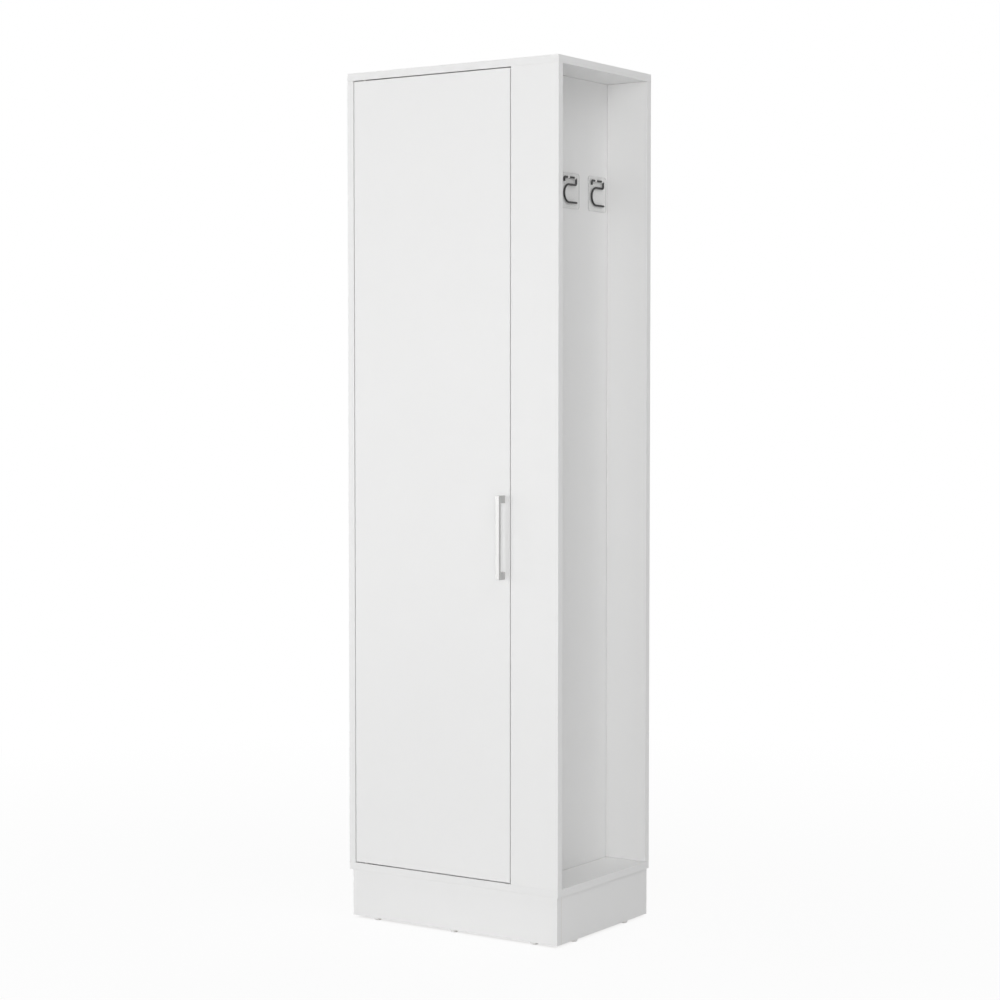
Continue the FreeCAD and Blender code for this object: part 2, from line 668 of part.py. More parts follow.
def make_pivots():
    """Two pivot hinges, the upper one the lower one turned over."""
    stem = rod("frame_pin", (ZERO, ZERO, -leaf_thickness), UP, pivot_radius,
               leaf_thickness * 2 + door_gap + pivot_tail)
    frame_strip = leaf_blank("frame_leaf_strip", (ZERO, ZERO, ZERO), -1)
    frame_leaf = drilled_leaf("frame_leaf_master", fused("frame_leaf_blank", [frame_strip, stem]), ZERO)

    # Made with its screw mouths up at local Z 0, so it is placed turned over against its door edge.
    pivot_hole = rod("door_leaf_bore", (ZERO, ZERO, -leaf_thickness), UP, pivot_radius + pivot_play,
                     leaf_thickness)
    door_strip = leaf_blank("door_leaf_strip", (ZERO, ZERO, ZERO), -1)
    door_leaf = drilled_leaf("door_leaf_master", door_strip, ZERO, [pivot_hole])

    ring = rod("washer_ring", (ZERO, ZERO, ZERO), UP, washer_radius, door_gap - washer_play)
    eye = rod("washer_eye", (ZERO, ZERO, ZERO), UP, pivot_radius + washer_play, door_gap)
    washer = cut("washer_master", ring, [eye])

    screw = turned_body("leaf_screw_master", [
        (ZERO, ZERO),
        (leaf_head_radius, ZERO),
        (leaf_shank_radius, -leaf_thickness),
        (leaf_shank_radius, -(leaf_screw_length - leaf_shank_radius)),
        (ZERO, -leaf_screw_length),
    ])

    washers, frame_screws, door_screws = [], [], []
    for level_name, frame_label, level, up in (
        ("lower", "bottom_panel", floor_top, UP),
        ("upper", "top_panel", ceiling, DOWN),
    ):
        sign = 1 if up == UP else -1
        door_edge = moved((pivot_x, pivot_y, level), up, door_gap)
        x, y, door_level = door_edge
        toward = turned(up, RIGHT)
        away = turned(opposite(up), RIGHT)
        group(f"{level_name}_frame_leaf",
              [copy_of(frame_leaf, f"{level_name}_frame_leaf_copy", (x, y, level), toward)])
        group(f"{level_name}_door_leaf",
              [copy_of(door_leaf, f"{level_name}_door_leaf_copy", door_edge, away)])
        washers.append(copy_of(washer, f"{level_name}_washer", (x, y, level), toward))
        cuts[frame_label].append(leaf_blank(f"{level_name}_frame_recess", (x, y, level), -sign))
        cuts["door_panel"].append(leaf_blank(f"{level_name}_door_recess", door_edge, sign))
        bore("door_panel", door_edge, up, pivot_radius + pivot_tail_play,
             leaf_thickness + pivot_tail + pivot_tail_play)
        for number, distance in enumerate(leaf_screw_places):
            hole_radius = leaf_shank_radius + screw_play
            hole_depth = leaf_screw_length + screw_play
            bore(frame_label, (x + distance, y, level), opposite(up), hole_radius, hole_depth)
            bore("door_panel", (x + distance, y, door_level), up, hole_radius, hole_depth)
            frame_screws.append(copy_of(
                screw, f"{level_name}_frame_screw{number}", (x + distance, y, level), toward))
            door_screws.append(copy_of(
                screw, f"{level_name}_door_screw{number}", (x + distance, y, door_level), away))
    group("pivot_washers", washers)
    group("frame_leaf_screws", frame_screws)
    group("door_leaf_screws", door_screws)


def pan_screw(name, head_radius, head_height, shank_radius, length):
    """A screw along local Z, its head above Z 0 and its shank below."""
    return turned_body(name, [
        (ZERO, head_height),
        (head_radius - head_height / 2, head_height),
        (head_radius, head_height / 2),
        (head_radius, ZERO),
        (shank_radius, ZERO),
        (shank_radius, -length),
        (ZERO, -length),
    ])


def make_handle():
    """A square bar on two posts in one piece, drawn from the side and padded across."""
    middle_x = door_right - handle_from_edge
    half = handle_length / 2
    inner = half - handle_post
    body = document.addObject("PartDesign::Body", "handle_body")
    # On the body's YZ plane the first number runs to the back and the second up.
    sketch = outline_sketch(body, "handle_outline", "YZ_Plane", [
        (ZERO, half),
        (-handle_reach, half),
        (-handle_reach, -half),
        (ZERO, -half),
        (ZERO, -inner),
        (handle_bar - handle_reach, -inner),
        (handle_bar - handle_reach, inner),
        (ZERO, inner),
    ])
    pad = body.newObject("PartDesign::Pad", "handle_pad")
    pad.Profile = sketch
    pad.Midplane = True
    bind(pad, "Length", handle_width)
    document.recompute()

    def is_front_edge(edge):
        return edge.BoundBox.YMax < value_of(handle_rounding - handle_reach)

    rounding = body.newObject("PartDesign::Fillet", "handle_rounding")
    rounding.Base = (pad, [
        f"Edge{number}" for number, edge in enumerate(pad.Shape.Edges, 1) if is_front_edge(edge)
    ])
    bind(rounding, "Radius", handle_rounding)
    put(body, (middle_x, front, handle_middle))

    grip_hole = handle_screw_grip + screw_play
    post_middles = (handle_middle - half + handle_post / 2, handle_middle + half - handle_post / 2)
    screw = pan_screw("handle_screw_master", handle_head_radius, handle_head_height, handle_screw_radius,
                      board + handle_screw_grip)
    holes, screws = [], []
    for number, z in enumerate(post_middles):
        holes.append(rod(f"handle_hole{number}", (middle_x, front - grip_hole, z), BACKWARD,
                         handle_screw_radius + joint_play, grip_hole))
        bore("door_panel", (middle_x, front, z), BACKWARD, handle_screw_radius + screw_play, board)
        screws.append(copy_of(
            screw, f"handle_screw{number}", (middle_x, front_inner, z), turned(BACKWARD)))
    node("door_handle", cut("door_handle_drilled", body, holes))
    group("handle_screws", screws)


def make_catches():
    """Magnetic catches on the partition, and their strike plates on the back of the door.

    A catch is modelled with its local origin at the middle of its front face, its depth along Y.
    """
    flange_right = catch_width / 2 + flange_thickness
    pocket_depth = magnet_depth - magnet_proud + magnet_play
    screw_height = flange_height / 2 - flange_screw_inset
    shell = fused("catch_shell", [
        block("catch_box", (-catch_width / 2, ZERO, -catch_height / 2),
              (catch_width, catch_depth, catch_height)),
        block("catch_flange", (catch_width / 2, ZERO, -flange_height / 2),
              (flange_thickness, catch_depth, flange_height)),
    ])
    pocket = block(
        "catch_pocket",
        (-magnet_width / 2 - magnet_play, ZERO, -magnet_height / 2 - magnet_play),
        (magnet_width + magnet_play * 2, pocket_depth, magnet_height + magnet_play * 2))
    flange_holes = [
        rod(f"flange_hole{number}", (catch_width / 2, catch_depth / 2, z), RIGHT,
            small_screw_radius + screw_play, flange_thickness)
        for number, z in enumerate((-screw_height, screw_height))
    ]
    housing = cut("catch_master", shell, [pocket] + flange_holes)
    magnet = block("magnet_master", (-magnet_width / 2, -magnet_proud, -magnet_height / 2),
                   (magnet_width, magnet_depth, magnet_height))
    plate = block("strike_blank", (-strike_width / 2, ZERO, -strike_height / 2),
                  (strike_width, strike_thickness, strike_height))
    strike_screw_height = strike_height / 2 - strike_screw_inset
    strike = cut("strike_master", plate, [
        rod(f"strike_hole{number}", (ZERO, ZERO, z), BACKWARD, small_screw_radius + screw_play,
            strike_thickness)
        for number, z in enumerate((-strike_screw_height, strike_screw_height))
    ])
    screw = pan_screw("small_screw_master", small_head_radius, small_head_height, small_screw_radius,
                      small_screw_length)

    catch_x = partition_left - flange_right
    catch_y = front_inner + strike_thickness + catch_gap + magnet_proud
    bore_radius = small_screw_radius + screw_play
    magnets, strikes, catch_screws, strike_screws = [], [], [], []
    for level_name, z in (("lower", floor_top + catch_inset), ("upper", ceiling - catch_inset)):
        group(f"{level_name}_catch_housing",
              [copy_of(housing, f"{level_name}_catch", (catch_x, catch_y, z), turned(UP))])
        magnets.append(copy_of(magnet, f"{level_name}_magnet", (catch_x, catch_y, z), turned(UP)))
        strikes.append(copy_of(strike, f"{level_name}_strike", (catch_x, front_inner, z), turned(UP)))
        for number, sign in enumerate((-1, 1)):
            hole = (partition_left, catch_y + catch_depth / 2, z + screw_height * sign)
            head_seat = moved(hole, LEFT, flange_thickness)
            bore("partition_panel", hole, RIGHT, bore_radius,
                 small_screw_length - flange_thickness + screw_play)
            catch_screws.append(copy_of(
                screw, f"{level_name}_catch_screw{number}", head_seat, turned(LEFT)))
            hole = (catch_x, front_inner, z + strike_screw_height * sign)
            head_seat = moved(hole, BACKWARD, strike_thickness)
            bore("door_panel", hole, FORWARD, bore_radius,
                 small_screw_length - strike_thickness + screw_play)
            strike_screws.append(copy_of(
                screw, f"{level_name}_strike_screw{number}", head_seat, turned(BACKWARD)))
    group("catch_magnets", magnets)
    group("strike_plates", strikes)
    group("catch_screws", catch_screws)
    group("strike_screws", strike_screws)


# ---------------------------------------------------------------- hooks in the niche

wire_out = hook_plate_thickness + wire_gap + wire_radius


def make_hook_plate():
    """An adhesive plate that stands out along local X, with two clips over the hook's crossbar."""
    half_width, half_height = hook_plate_width / 2, hook_plate_height / 2
    blank = block("hook_plate_blank", (ZERO, -half_width, -half_height),
                  (hook_plate_thickness, hook_plate_width, hook_plate_height))
    plate = rounded("hook_plate_rounded", blank, hook_plate_corner, runs_along("x"))
    clip_radius = wire_radius + clip_play + clip_wall
    solids, bores = [plate], []
    for number, clip_middle in enumerate((-clip_offset, clip_offset)):
        start = clip_middle - clip_width / 2
        solids.append(block(f"clip_foot{number}", (ZERO, start, crossbar_rise - clip_radius),
                            (wire_out, clip_width, clip_radius * 2)))
        solids.append(rod(f"clip_round{number}", (wire_out, start, crossbar_rise), BACKWARD,
                          clip_radius, clip_width))
        bores.append(rod(f"clip_bore{number}", (wire_out, start, crossbar_rise), BACKWARD,
                         wire_radius + clip_play, clip_width))
    return cut("hook_plate_master", fused("hook_plate_solid", solids), bores)


def bent_wire(points, radii):
    """A path of straight runs joined by tangent arcs, one radius for each inner point."""
    edges = []
    last = points[0]
    for before, corner, after, radius in zip(points, points[1:], points[2:], radii):
        toward_before = (before - corner).normalize()
        toward_after = (after - corner).normalize()
        half_angle = toward_before.getAngle(toward_after) / 2
        setback = radius / math.tan(half_angle)
        start = corner + toward_before * setback
        end = corner + toward_after * setback
        bisector = (toward_before + toward_after).normalize()
        crown = corner + bisector * (radius / math.sin(half_angle) - radius)
        if (start - last).Length > 1e-6:
            edges.append(Part.LineSegment(last, start).toShape())
        edges.append(Part.Arc(start, crown, end).toShape())
        last = end
    edges.append(Part.LineSegment(last, points[-1]).toShape())
    return Part.Wire(edges)


def make_wire_hook():
    """A hook bent from one wire, hanging from its crossbar, which lies on local Y."""
    foot = -rear_leg_drop
    lower_run = foot - bowl_radius * 2
    bowl_front = -bowl_offset - bowl_radius
    corners = [
        (-front_leg_offset, -front_leg_drop),
        (-front_leg_offset, ZERO),
        (rear_leg_offset, ZERO),
        (rear_leg_offset, foot),
        (bowl_front, foot),
        (bowl_front, lower_run),
        (tip_offset, lower_run),
    ]
    points = [Vector(0, value_of(y), value_of(z)) for y, z in corners]
    # The round bend is two quarter turns, which share the middle of its front.
    small, large = wire_bend.value, bowl_radius.value
    path = document.addObject("Part::Feature", "hook_path")
    path.Shape = bent_wire(points, [small, small, small, large, large])
    profile = document.addObject("Part::Circle", "hook_section")
    bind(profile, "Radius", wire_radius)
    put(profile, (ZERO, -front_leg_offset, -front_leg_drop))
    sweep = document.addObject("Part::Sweep", "hook_master")
    sweep.Sections = [profile]
    sweep.Spine = (path, [f"Edge{number}" for number in range(1, len(path.Shape.Edges) + 1)])
    sweep.Solid = True
    sweep.Frenet = False
    return sweep


def make_hooks():
    plate, hook = make_hook_plate(), make_wire_hook()
    rear = back - rear_plate_inset
    plate_middle = ceiling - hook_plate_drop
    for place, y in (("rear", rear), ("front", rear - hook_pitch)):
        crossbar = (niche_left + wire_out, y, plate_middle + crossbar_rise)
        group(f"hook_plate_{place}",
              [copy_of(plate, f"{place}_plate", (niche_left, y, plate_middle), turned(UP))])
        group(f"wire_hook_{place}", [copy_of(hook, f"{place}_hook", crossbar, turned(UP))])


# ---------------------------------------------------------------- build, check and write

cam_master = make_cam_master()
bolt_master = make_bolt_master()
make_boards()
make_plinth()
make_glides()
make_back_sheet()
make_joints()
make_shelf_pins()
make_pivots()
make_handle()
make_catches()
make_hooks()
finish_boards()
group("cam_housings", cams)
group("cam_bolts", bolts)
group("dowels", dowels)
document.recompute()

failed = [piece.Name for piece in document.Objects if {"Invalid", "Error"} & set(piece.State)]
if failed:
    raise RuntimeError("these objects failed to recompute: " + ", ".join(failed))
for piece in nodes:
    if piece.Shape.isNull() or not piece.Shape.isValid() or not piece.Shape.Solids:
        raise RuntimeError(piece.Label + " has no valid solid")

os.makedirs("parts", exist_ok=True)
for piece in nodes:
    piece.Shape.exportStep(os.path.join("parts", piece.Label + ".step"))
    size = piece.Shape.BoundBox
    print(f"{piece.Label}: {len(piece.Shape.Solids)} solids, "
          f"{size.XLength:.1f} x {size.YLength:.1f} x {size.ZLength:.1f}")
print(len(nodes), "sub-parts")
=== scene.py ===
"""Broom cupboard: the finish of its boards, handle, fittings and wire hooks, and its studio.

Everything is in metres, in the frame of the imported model: X to the right, Y to the back, Z up.
"""

import json
import math

import bmesh
import bpy
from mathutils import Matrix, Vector

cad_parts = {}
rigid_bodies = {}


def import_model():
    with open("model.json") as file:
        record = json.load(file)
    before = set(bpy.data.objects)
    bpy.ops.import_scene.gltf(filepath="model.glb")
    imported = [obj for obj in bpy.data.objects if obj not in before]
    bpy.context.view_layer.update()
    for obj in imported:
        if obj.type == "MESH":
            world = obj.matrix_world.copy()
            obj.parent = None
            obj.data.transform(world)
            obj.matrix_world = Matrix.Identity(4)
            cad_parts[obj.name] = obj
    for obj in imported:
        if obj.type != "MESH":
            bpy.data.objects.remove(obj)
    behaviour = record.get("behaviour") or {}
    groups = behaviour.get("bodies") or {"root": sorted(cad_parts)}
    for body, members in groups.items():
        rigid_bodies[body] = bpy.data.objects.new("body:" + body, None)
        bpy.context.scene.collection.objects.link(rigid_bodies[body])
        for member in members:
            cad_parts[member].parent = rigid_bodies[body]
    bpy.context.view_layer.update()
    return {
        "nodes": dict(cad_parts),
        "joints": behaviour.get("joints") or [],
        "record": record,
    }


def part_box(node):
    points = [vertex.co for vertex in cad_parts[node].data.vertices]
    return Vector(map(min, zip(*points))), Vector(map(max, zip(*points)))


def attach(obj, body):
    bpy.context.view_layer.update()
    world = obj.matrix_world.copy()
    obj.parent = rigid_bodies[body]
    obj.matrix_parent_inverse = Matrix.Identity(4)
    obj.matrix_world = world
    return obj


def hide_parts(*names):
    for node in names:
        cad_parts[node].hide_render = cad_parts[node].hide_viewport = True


bl_info = {
    "name": "Broom Cupboard",
    "version": (1, 0, 0),
    "blender": (4, 5, 0),
    "location": "View3D > Sidebar > Cupboard",
    "description": "Builds the finished look of a broom cupboard round its packed model",
    "category": "Add Mesh",
}

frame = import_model()

X, Y, Z = range(3)
AXES = {"x": X, "y": Y, "z": Z}
SIDES = ("-x", "+x", "-y", "+y", "-z", "+z")
UP = (0, 0, 1)
WHITE = (1.0, 1.0, 1.0, 1.0)
TOLERANCE = 1e-5
MERGE_DISTANCE = 1e-6
# A face looks along an axis when its normal has more than this along it.
FACING = 0.9
# Angles between faces: edges to be broken, near right angles, and smooth shading.
SHARP_EDGE = math.radians(40)
NEAR_SQUARE = math.radians(60)
SMOOTH_BELOW = math.radians(35)
ROUND_BELOW = math.radians(50)

# Each board with the sides that are edged, in the order in which the edging is laid.
BOARDS = {
    "top_panel": ("-x", "+x", "-y"),
    "bottom_panel": ("-x", "+x", "-y"),
    "left_side_panel": ("-y",),
    "partition_panel": (),
    "fixed_front_panel": ("-x", "+x"),
    "niche_back_panel": ("+x",),
    "plinth_front": ("-x", "+x"),
    "plinth_back": ("-x", "+x"),
    "plinth_left": (),
    "plinth_right": (),
}
SHELVES = ("fixed_shelf", "adjustable_shelf_1", "adjustable_shelf_2", "adjustable_shelf_3")
SHELF_EDGING = ("-y",)
DOOR_EDGING = ("-z", "+z", "-x", "+x")
# The cut ends that meet another board with a fine joint to be seen; their arrises are painted dark,
# as painted shade in the joint with its dust.
JOINTED_ENDS = {
    "partition_panel": ("-z", "+z"),
    "niche_back_panel": ("-x", "-z", "+z"),
    "plinth_back": ("+z",),
    "plinth_left": ("+z",),
    "plinth_right": ("+z",),
}
# Finishes of a board: melamine, raw core, and the dark joint colour, which is painted shade with
# dust.
BOARD_FINISHES = ("white_melamine", "raw_chipboard", "joint_dust")
MELAMINE, CORE, DUST_AND_SHADE = range(3)

# How far the tool that cuts a leaf's slot runs past the leaf.
SLOT_OVERRUN = 0.01

# A bend of the wire is spun in steps of about this length, and in no fewer than this many.
BEND_STEP = 0.0012
FEWEST_BEND_STEPS = 6
# Rounding of a wire's ends, in radii of the wire.
WIRE_END = 0.6
# How far before the wall a plate's back lies, and how far a clip reaches into its plate, in
# thicknesses of the adhesive pad.
PLATE_BACK, CLIP_IN_PLATE = 0.7, 0.5

# Steps round the foot of a glide, in degrees.
FOOT_TURNS = range(0, 91, 18)
# Head of a glide's nail: shares of the hollow's radius, with heights over the floor.
NAIL_HEAD = ((0.5, 0.0004), (0.86, 0.0007))
# The taper and the tip of a nail or a screw, in radii of its shank.
NAIL_TAPER, SCREW_TAPER, TIP = 3, 2, 0.1
# Outline of a pan head: shares of its radius and of its height, and the step to the shank.
PAN_HEAD = ((0.4, 0.0), (0.72, 0.1), (0.92, 0.34), (1.0, 0.7), (1.0, 1.0))
PAN_STEP = 0.00005
# Rim of a countersunk head: shares of its radius, with depths.
COUNTERSUNK_RIM = ((0.9, 0.0), (1.0, 0.0001), (1.0, 0.0003))
# The cross recess in shares of the head's radius, its depth also in shares of the head's height.
RECESS_REACH, RECESS_WIDTH, RECESS_DEPTH = 0.62, 0.24, 0.5
RECESS_IN_HEAD = 0.8
RECESS_TAPER = 0.45

# The fittings that keep their packed form: the piece made of each node, its finish, the size
# that its edges are broken by, and in how many steps.
JOINT_FITTINGS = {
    "cam_housings": ("cam_discs", "zinc_plate", "small_arris", 2),
    "cam_bolts": ("cam_bolt_set", "zinc_plate", "small_arris", 1),
    "dowels": ("beech_dowels", "turned_beech", "dowel_chamfer", 1),
    "plinth_brackets": ("corner_brackets", "moulded_white", "bracket_rounding", 2),
    "shelf_pins": ("spoon_pins", "zinc_plate", "small_arris", 2),
}
PIVOT_FITTINGS = {
    **{f"{end}_{part}_leaf": (f"{end}_{part}_pivot", "zinc_plate", "leaf_arris", 2)
       for end in ("lower", "upper") for part in ("frame", "door")},
    "pivot_washers": ("pivot_washer_pair", "natural_nylon", "small_arris", 2),
}
CATCH_FITTINGS = {
    **{f"{end}_catch_housing": (f"{end}_catch", "moulded_white", "housing_rounding", 2)
       for end in ("lower", "upper")},
    "strike_plates": ("strike_plate_pair", "zinc_plate", "leaf_arris", 2),
}

# Each lamp of the studio: the property of its power, its place and the side of its square.
LAMPS = {
    "front_softbox": ("front_light", (-2.7, -4.3, 0.7), 3.2),
    "corner_softbox": ("corner_light", (2.6, -4.6, 1.2), 3.0),
    "left_softbox": ("left_light", (-4.9, -1.0, 1.6), 3.0),
    "top_softbox": ("top_light", (0.5, -0.5, 5.0), 3.4),
    "high_softbox": ("high_light", (3.4, -1.0, 4.2), 2.6),
    "back_softbox": ("back_light", (-1.2, 5.0, 1.6), 3.0),
}
LAMPS_AIM = Vector((0, 0, 0.9))
FLOOR_SIDE = 60
# The floor turns to plain white between these distances from the middle of the cupboard, and
# under the cupboard between these shares of the way to the plinth's outline.
GLOW_RANGE = (0.7, 2.6)
CONTACT_RANGE = (0.94, 1.0)
SENSOR_WIDTH = 36


# ---------------------------------------------------------------- sizes and colours to change

def length(name, description, default):
    return bpy.props.FloatProperty(
        name=name, description=description, default=default, min=0.0, precision=5,
        subtype="DISTANCE", unit="LENGTH")


def colour(name, description, default):
    return bpy.props.FloatVectorProperty(
        name=name, description=description, default=default, min=0.0, max=1.0, size=3,
        subtype="COLOR")


def strength(name, description, default):
    return bpy.props.FloatProperty(name=name, description=description, default=default, min=0.0)


def angle(name, description, degrees):
    return bpy.props.FloatProperty(
        name=name, description=description, default=math.radians(degrees),
        subtype="ANGLE", unit="ROTATION")


class CupboardSizes(bpy.types.PropertyGroup):
    """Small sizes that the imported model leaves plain"""

    edging_thickness: length("Edging", "Thickness of the plastic edging", 0.0008)
    edging_rounding: length("Edging rounding", "Rounded long edges of the edging", 0.0004)
    fine_joint: length("Fine joint", "Hairline between a cut end and the next board", 0.00018)
    board_arris: length("Board arris", "Chamfer along the cut edges of a board", 0.00015)
    handle_post: length("Handle post", "Height of each post of the handle", 0.0145)
    handle_bar: length("Handle bar", "Thickness of the bar", 0.0065)
    handle_rounding: length("Handle rounding", "Rounded edges of the handle", 0.0005)
    plate_thickness: length("Hook plate", "Thickness of an adhesive plate", 0.0012)
    plate_corner: length("Plate corner", "Corner radius of an adhesive plate", 0.006)
    pad_thickness: length("Adhesive pad", "Adhesive pad behind a plate", 0.0003)
    pad_margin: length("Pad margin", "Adhesive pad short of the edge of its plate", 0.0008)
    wire_radius: length("Hook wire", "Radius of the hook wire", 0.002)
    clip_play: length("Clip play", "Between the wire and its clips", 0.00008)
    clip_wall: length("Clip wall", "Wall of a clip over the wire", 0.0012)
    clip_width: length("Clip width", "Clip along the wire", 0.005)
    clip_offset: length("Clip offset", "Clips from the middle of the plate", 0.0125)
    front_leg_offset: length("Front leg", "Front leg from the middle of the plate", 0.025)
    front_leg_drop: length("Front leg drop", "End of the front leg under the crossbar", 0.009)
    rear_leg_offset: length("Rear leg", "Rear leg from the middle of the plate", 0.0185)
    rear_leg_drop: length("Rear leg drop", "Foot of the rear leg under the crossbar", 0.014)
    bowl_offset: length("Round bend offset", "Its axis before the middle of the plate", 0.008)
    bowl_radius: length("Round bend", "Radius of the round bend of a hook", 0.0175)
    tip_offset: length("Hook tip", "End of the lower run behind the plate's middle", 0.021)
    wire_bend: length("Small bends", "Radius of the small bends of the wire", 0.003)
    small_arris: length("Fitting arris", "Broken edges of the small fittings", 0.00025)
    leaf_arris: length("Leaf arris", "Broken edges of pivot leaves and strike plates", 0.00015)
    dowel_chamfer: length("Dowel chamfer", "Chamfered ends of the dowels", 0.0008)
    bracket_rounding: length("Bracket rounding", "Rounded edges of the brackets", 0.0006)
    housing_rounding: length("Housing rounding", "Rounded edges of the catches", 0.0004)
    small_shank: length("Small screw", "Radius of the screws of the catches", 0.0015)
    small_head: length("Small screw head", "Height of the heads of the catch screws", 0.0016)
    handle_shank: length("Handle screw", "Radius of the screws of the handle", 0.002)
    handle_head: length("Handle screw head", "Height of the handle screws' heads", 0.0025)
    leaf_shank: length("Leaf screw", "Radius of the screws of the pivot leaves", 0.0015)
    countersink: length("Countersink", "Height of the heads of the leaf screws", 0.0025)
    pole_thickness: length("Pole plate", "Steel plates on both sides of a magnet", 0.0018)
    ferrite_setback: length("Ferrite setback", "Ferrite behind its pole plates' front", 0.0006)
    ferrite_inset: length("Ferrite inset", "Ferrite short of its pole plates' ends", 0.0005)
    glide_height: length("Glide", "Height of a glide", 0.005)
    glide_rounding: length("Glide rounding", "Rounded foot of a glide", 0.0034)
    glide_arris: length("Glide arris", "Broken edges of a glide", 0.0003)
    glide_hollow: length("Glide hollow", "Depth of the hollow round a glide's nail", 0.0012)
    glide_dish: length("Glide dish", "Radius of the hollow round a glide's nail", 0.0032)
    nail_radius: length("Glide nail", "Radius of the nail of a glide", 0.001)


class CupboardFinish(bpy.types.PropertyGroup):
    """Colours of the finishes"""

    board: colour("Melamine", "White melamine face of the boards", (0.832, 0.832, 0.829))
    edging: colour("Edging", "White plastic edging", (0.822, 0.822, 0.820))
    chipboard: colour("Chipboard", "Raw core of the boards", (0.50, 0.36, 0.22))
    # The joint colour is painted shade in the fine joints as well as their dust.
    joint: colour("Joint", "Dust in the fine joints of the boards", (0.10, 0.10, 0.10))
    hardboard: colour("Hardboard", "Unfaced back of the hardboard", (0.24, 0.13, 0.065))
    handle: colour("Handle", "Satin nickel of the handle", (0.54, 0.54, 0.535))
    wire: colour("Wire", "Black coating of the hook wire", (0.012, 0.012, 0.013))
    plate: colour("Hook plate", "Clear plastic of the hook plates", (0.80, 0.81, 0.81))
    pad: colour("Adhesive pad", "Whitish adhesive of the hook plates", (0.80, 0.80, 0.795))
    # The rim colour is painted shade along the cut edge of the clear plates.
    plate_rim: colour("Hook plate rim", "Cut edge of the clear plates", (0.40, 0.41, 0.41))
    clip: colour("Clip", "Milky plastic of the clips", (0.82, 0.82, 0.81))
    zinc: colour("Zinc", "Zinc plated steel", (0.62, 0.62, 0.63))
    plastic: colour("White plastic", "Moulded white plastic", (0.78, 0.78, 0.77))
    nylon: colour("Nylon", "Natural nylon", (0.72, 0.70, 0.65))
    glide: colour("Glide", "White nylon of the glides", (0.80, 0.80, 0.795))
    beech: colour("Beech", "Wooden dowels", (0.58, 0.36, 0.17))
    ferrite: colour("Ferrite", "Core of the magnets", (0.035, 0.034, 0.035))
    floor: colour("Floor", "Pale studio floor", (0.93, 0.93, 0.93))


class CupboardStage(bpy.types.PropertyGroup):
    """Camera and soft light of the studio"""

    camera_place: bpy.props.FloatVectorProperty(
        name="Camera", description="Place of the camera",
        default=(2.604963, -3.872678, 1.069549), subtype="TRANSLATION", unit="LENGTH")
    camera_turn: angle("Turn", "Camera's turn round the upright axis", 33.837)
    camera_dip: angle("Dip", "Camera's look below the horizon", 2.711)
    lens: bpy.props.FloatProperty(
        name="Lens", description="Focal length in millimetres", default=83.597, min=1.0)
    ambient: strength("Ambient", "Even light from all round", 0.235)
    front_light: strength("Front light", "Watts of the lamp in front", 72.0)
    corner_light: strength("Corner light", "Watts of the lamp before the right corner", 100.0)
    left_light: strength("Left light", "Watts of the lamp on the left", 58.0)
    top_light: strength("Top light", "Watts of the lamp overhead", 29.0)
    high_light: strength("High light", "Watts of the lamp high on the right", 43.0)
    back_light: strength("Back light", "Watts of the lamp behind", 113.0)
    floor_glow: strength("Floor glow", "How white the floor by the cupboard shows", 0.92)
    contact_glow: strength("Contact glow", "How white the floor under it shows", 0.80)


# ---------------------------------------------------------------- modelling as by hand

def only(*chosen):
    """Selects just these pieces and makes the first one active."""
    bpy.ops.object.select_all(action="DESELECT")
    for piece in chosen:
        piece.select_set(True)
    bpy.context.view_layer.objects.active = chosen[0]


class editing:
    """Edit mode on one piece, for a with block."""

    def __init__(self, piece):
        self.piece = piece

    def __enter__(self):
        only(self.piece)
        bpy.ops.object.mode_set(mode="EDIT")
        return self

    def __exit__(self, *problem):
        bpy.ops.object.mode_set(mode="OBJECT")
        return False


def choose(kind, test):
    """In edit mode, selects the parts of a kind that pass a test, and returns how many do."""
    bpy.ops.mesh.select_mode(type=kind)
    bpy.ops.mesh.select_all(action="DESELECT")
    mesh = bmesh.from_edit_mesh(bpy.context.edit_object.data)
    parts = {"VERT": mesh.verts, "EDGE": mesh.edges, "FACE": mesh.faces}[kind]
    chosen = [part for part in parts if test(part)]
    for part in chosen:
        part.select_set(True)
    mesh.select_flush_mode()
    bmesh.update_edit_mesh(bpy.context.edit_object.data)
    return len(chosen)


def on_plane(part, axis, place):
    """Whether all points of an edge or a face lie at one place along an axis."""
    return all(abs(vertex.co[axis] - place) < TOLERANCE for vertex in part.verts)


def is_square(edge):
    """Whether two faces meet at an edge nearly at a right angle, or more sharply."""
    return len(edge.link_faces) == 2 and edge.calc_face_angle() > NEAR_SQUARE


def choose_all():
    bpy.ops.mesh.select_all(action="SELECT")


def extrude(move):
    """In edit mode, draws what is chosen out by a move."""
    bpy.ops.mesh.extrude_region_move(TRANSFORM_OT_translate={"value": move})


def bevel(width, segments=2, **settings):
    """In edit mode, rounds the chosen edges."""
    bpy.ops.mesh.bevel(offset=width, segments=segments, profile=0.5, affect="EDGES", **settings)


def turn_to(direction):
    """The turn that points Z in a direction."""
    return Vector(direction).to_track_quat("Z", "Y").to_euler()


def settle(piece):
    """Puts a piece's place, turn and size into its mesh."""
    only(piece)
    bpy.ops.object.transform_apply(location=True, rotation=True, scale=True)


def added(name):
    """The primitive that was just added, named and settled."""
    piece = bpy.context.object
    piece.name = name
    settle(piece)
    return piece


def add_box(name, low, high):
    low, high = Vector(low), Vector(high)
    bpy.ops.mesh.primitive_cube_add(size=1, location=(low + high) / 2, scale=high - low)
    return added(name)


def add_slab(name, low, high, left, right):
    """A box as deep and as high as another one, between two places along X."""
    return add_box(name, (left, low.y, low.z), (right, high.y, high.z))


def add_circle(name, place, radius, sides, turn=(0, 0, 0), fill="NGON"):
    bpy.ops.mesh.primitive_circle_add(
        vertices=sides, radius=radius, fill_type=fill, location=place, rotation=turn)
    return added(name)


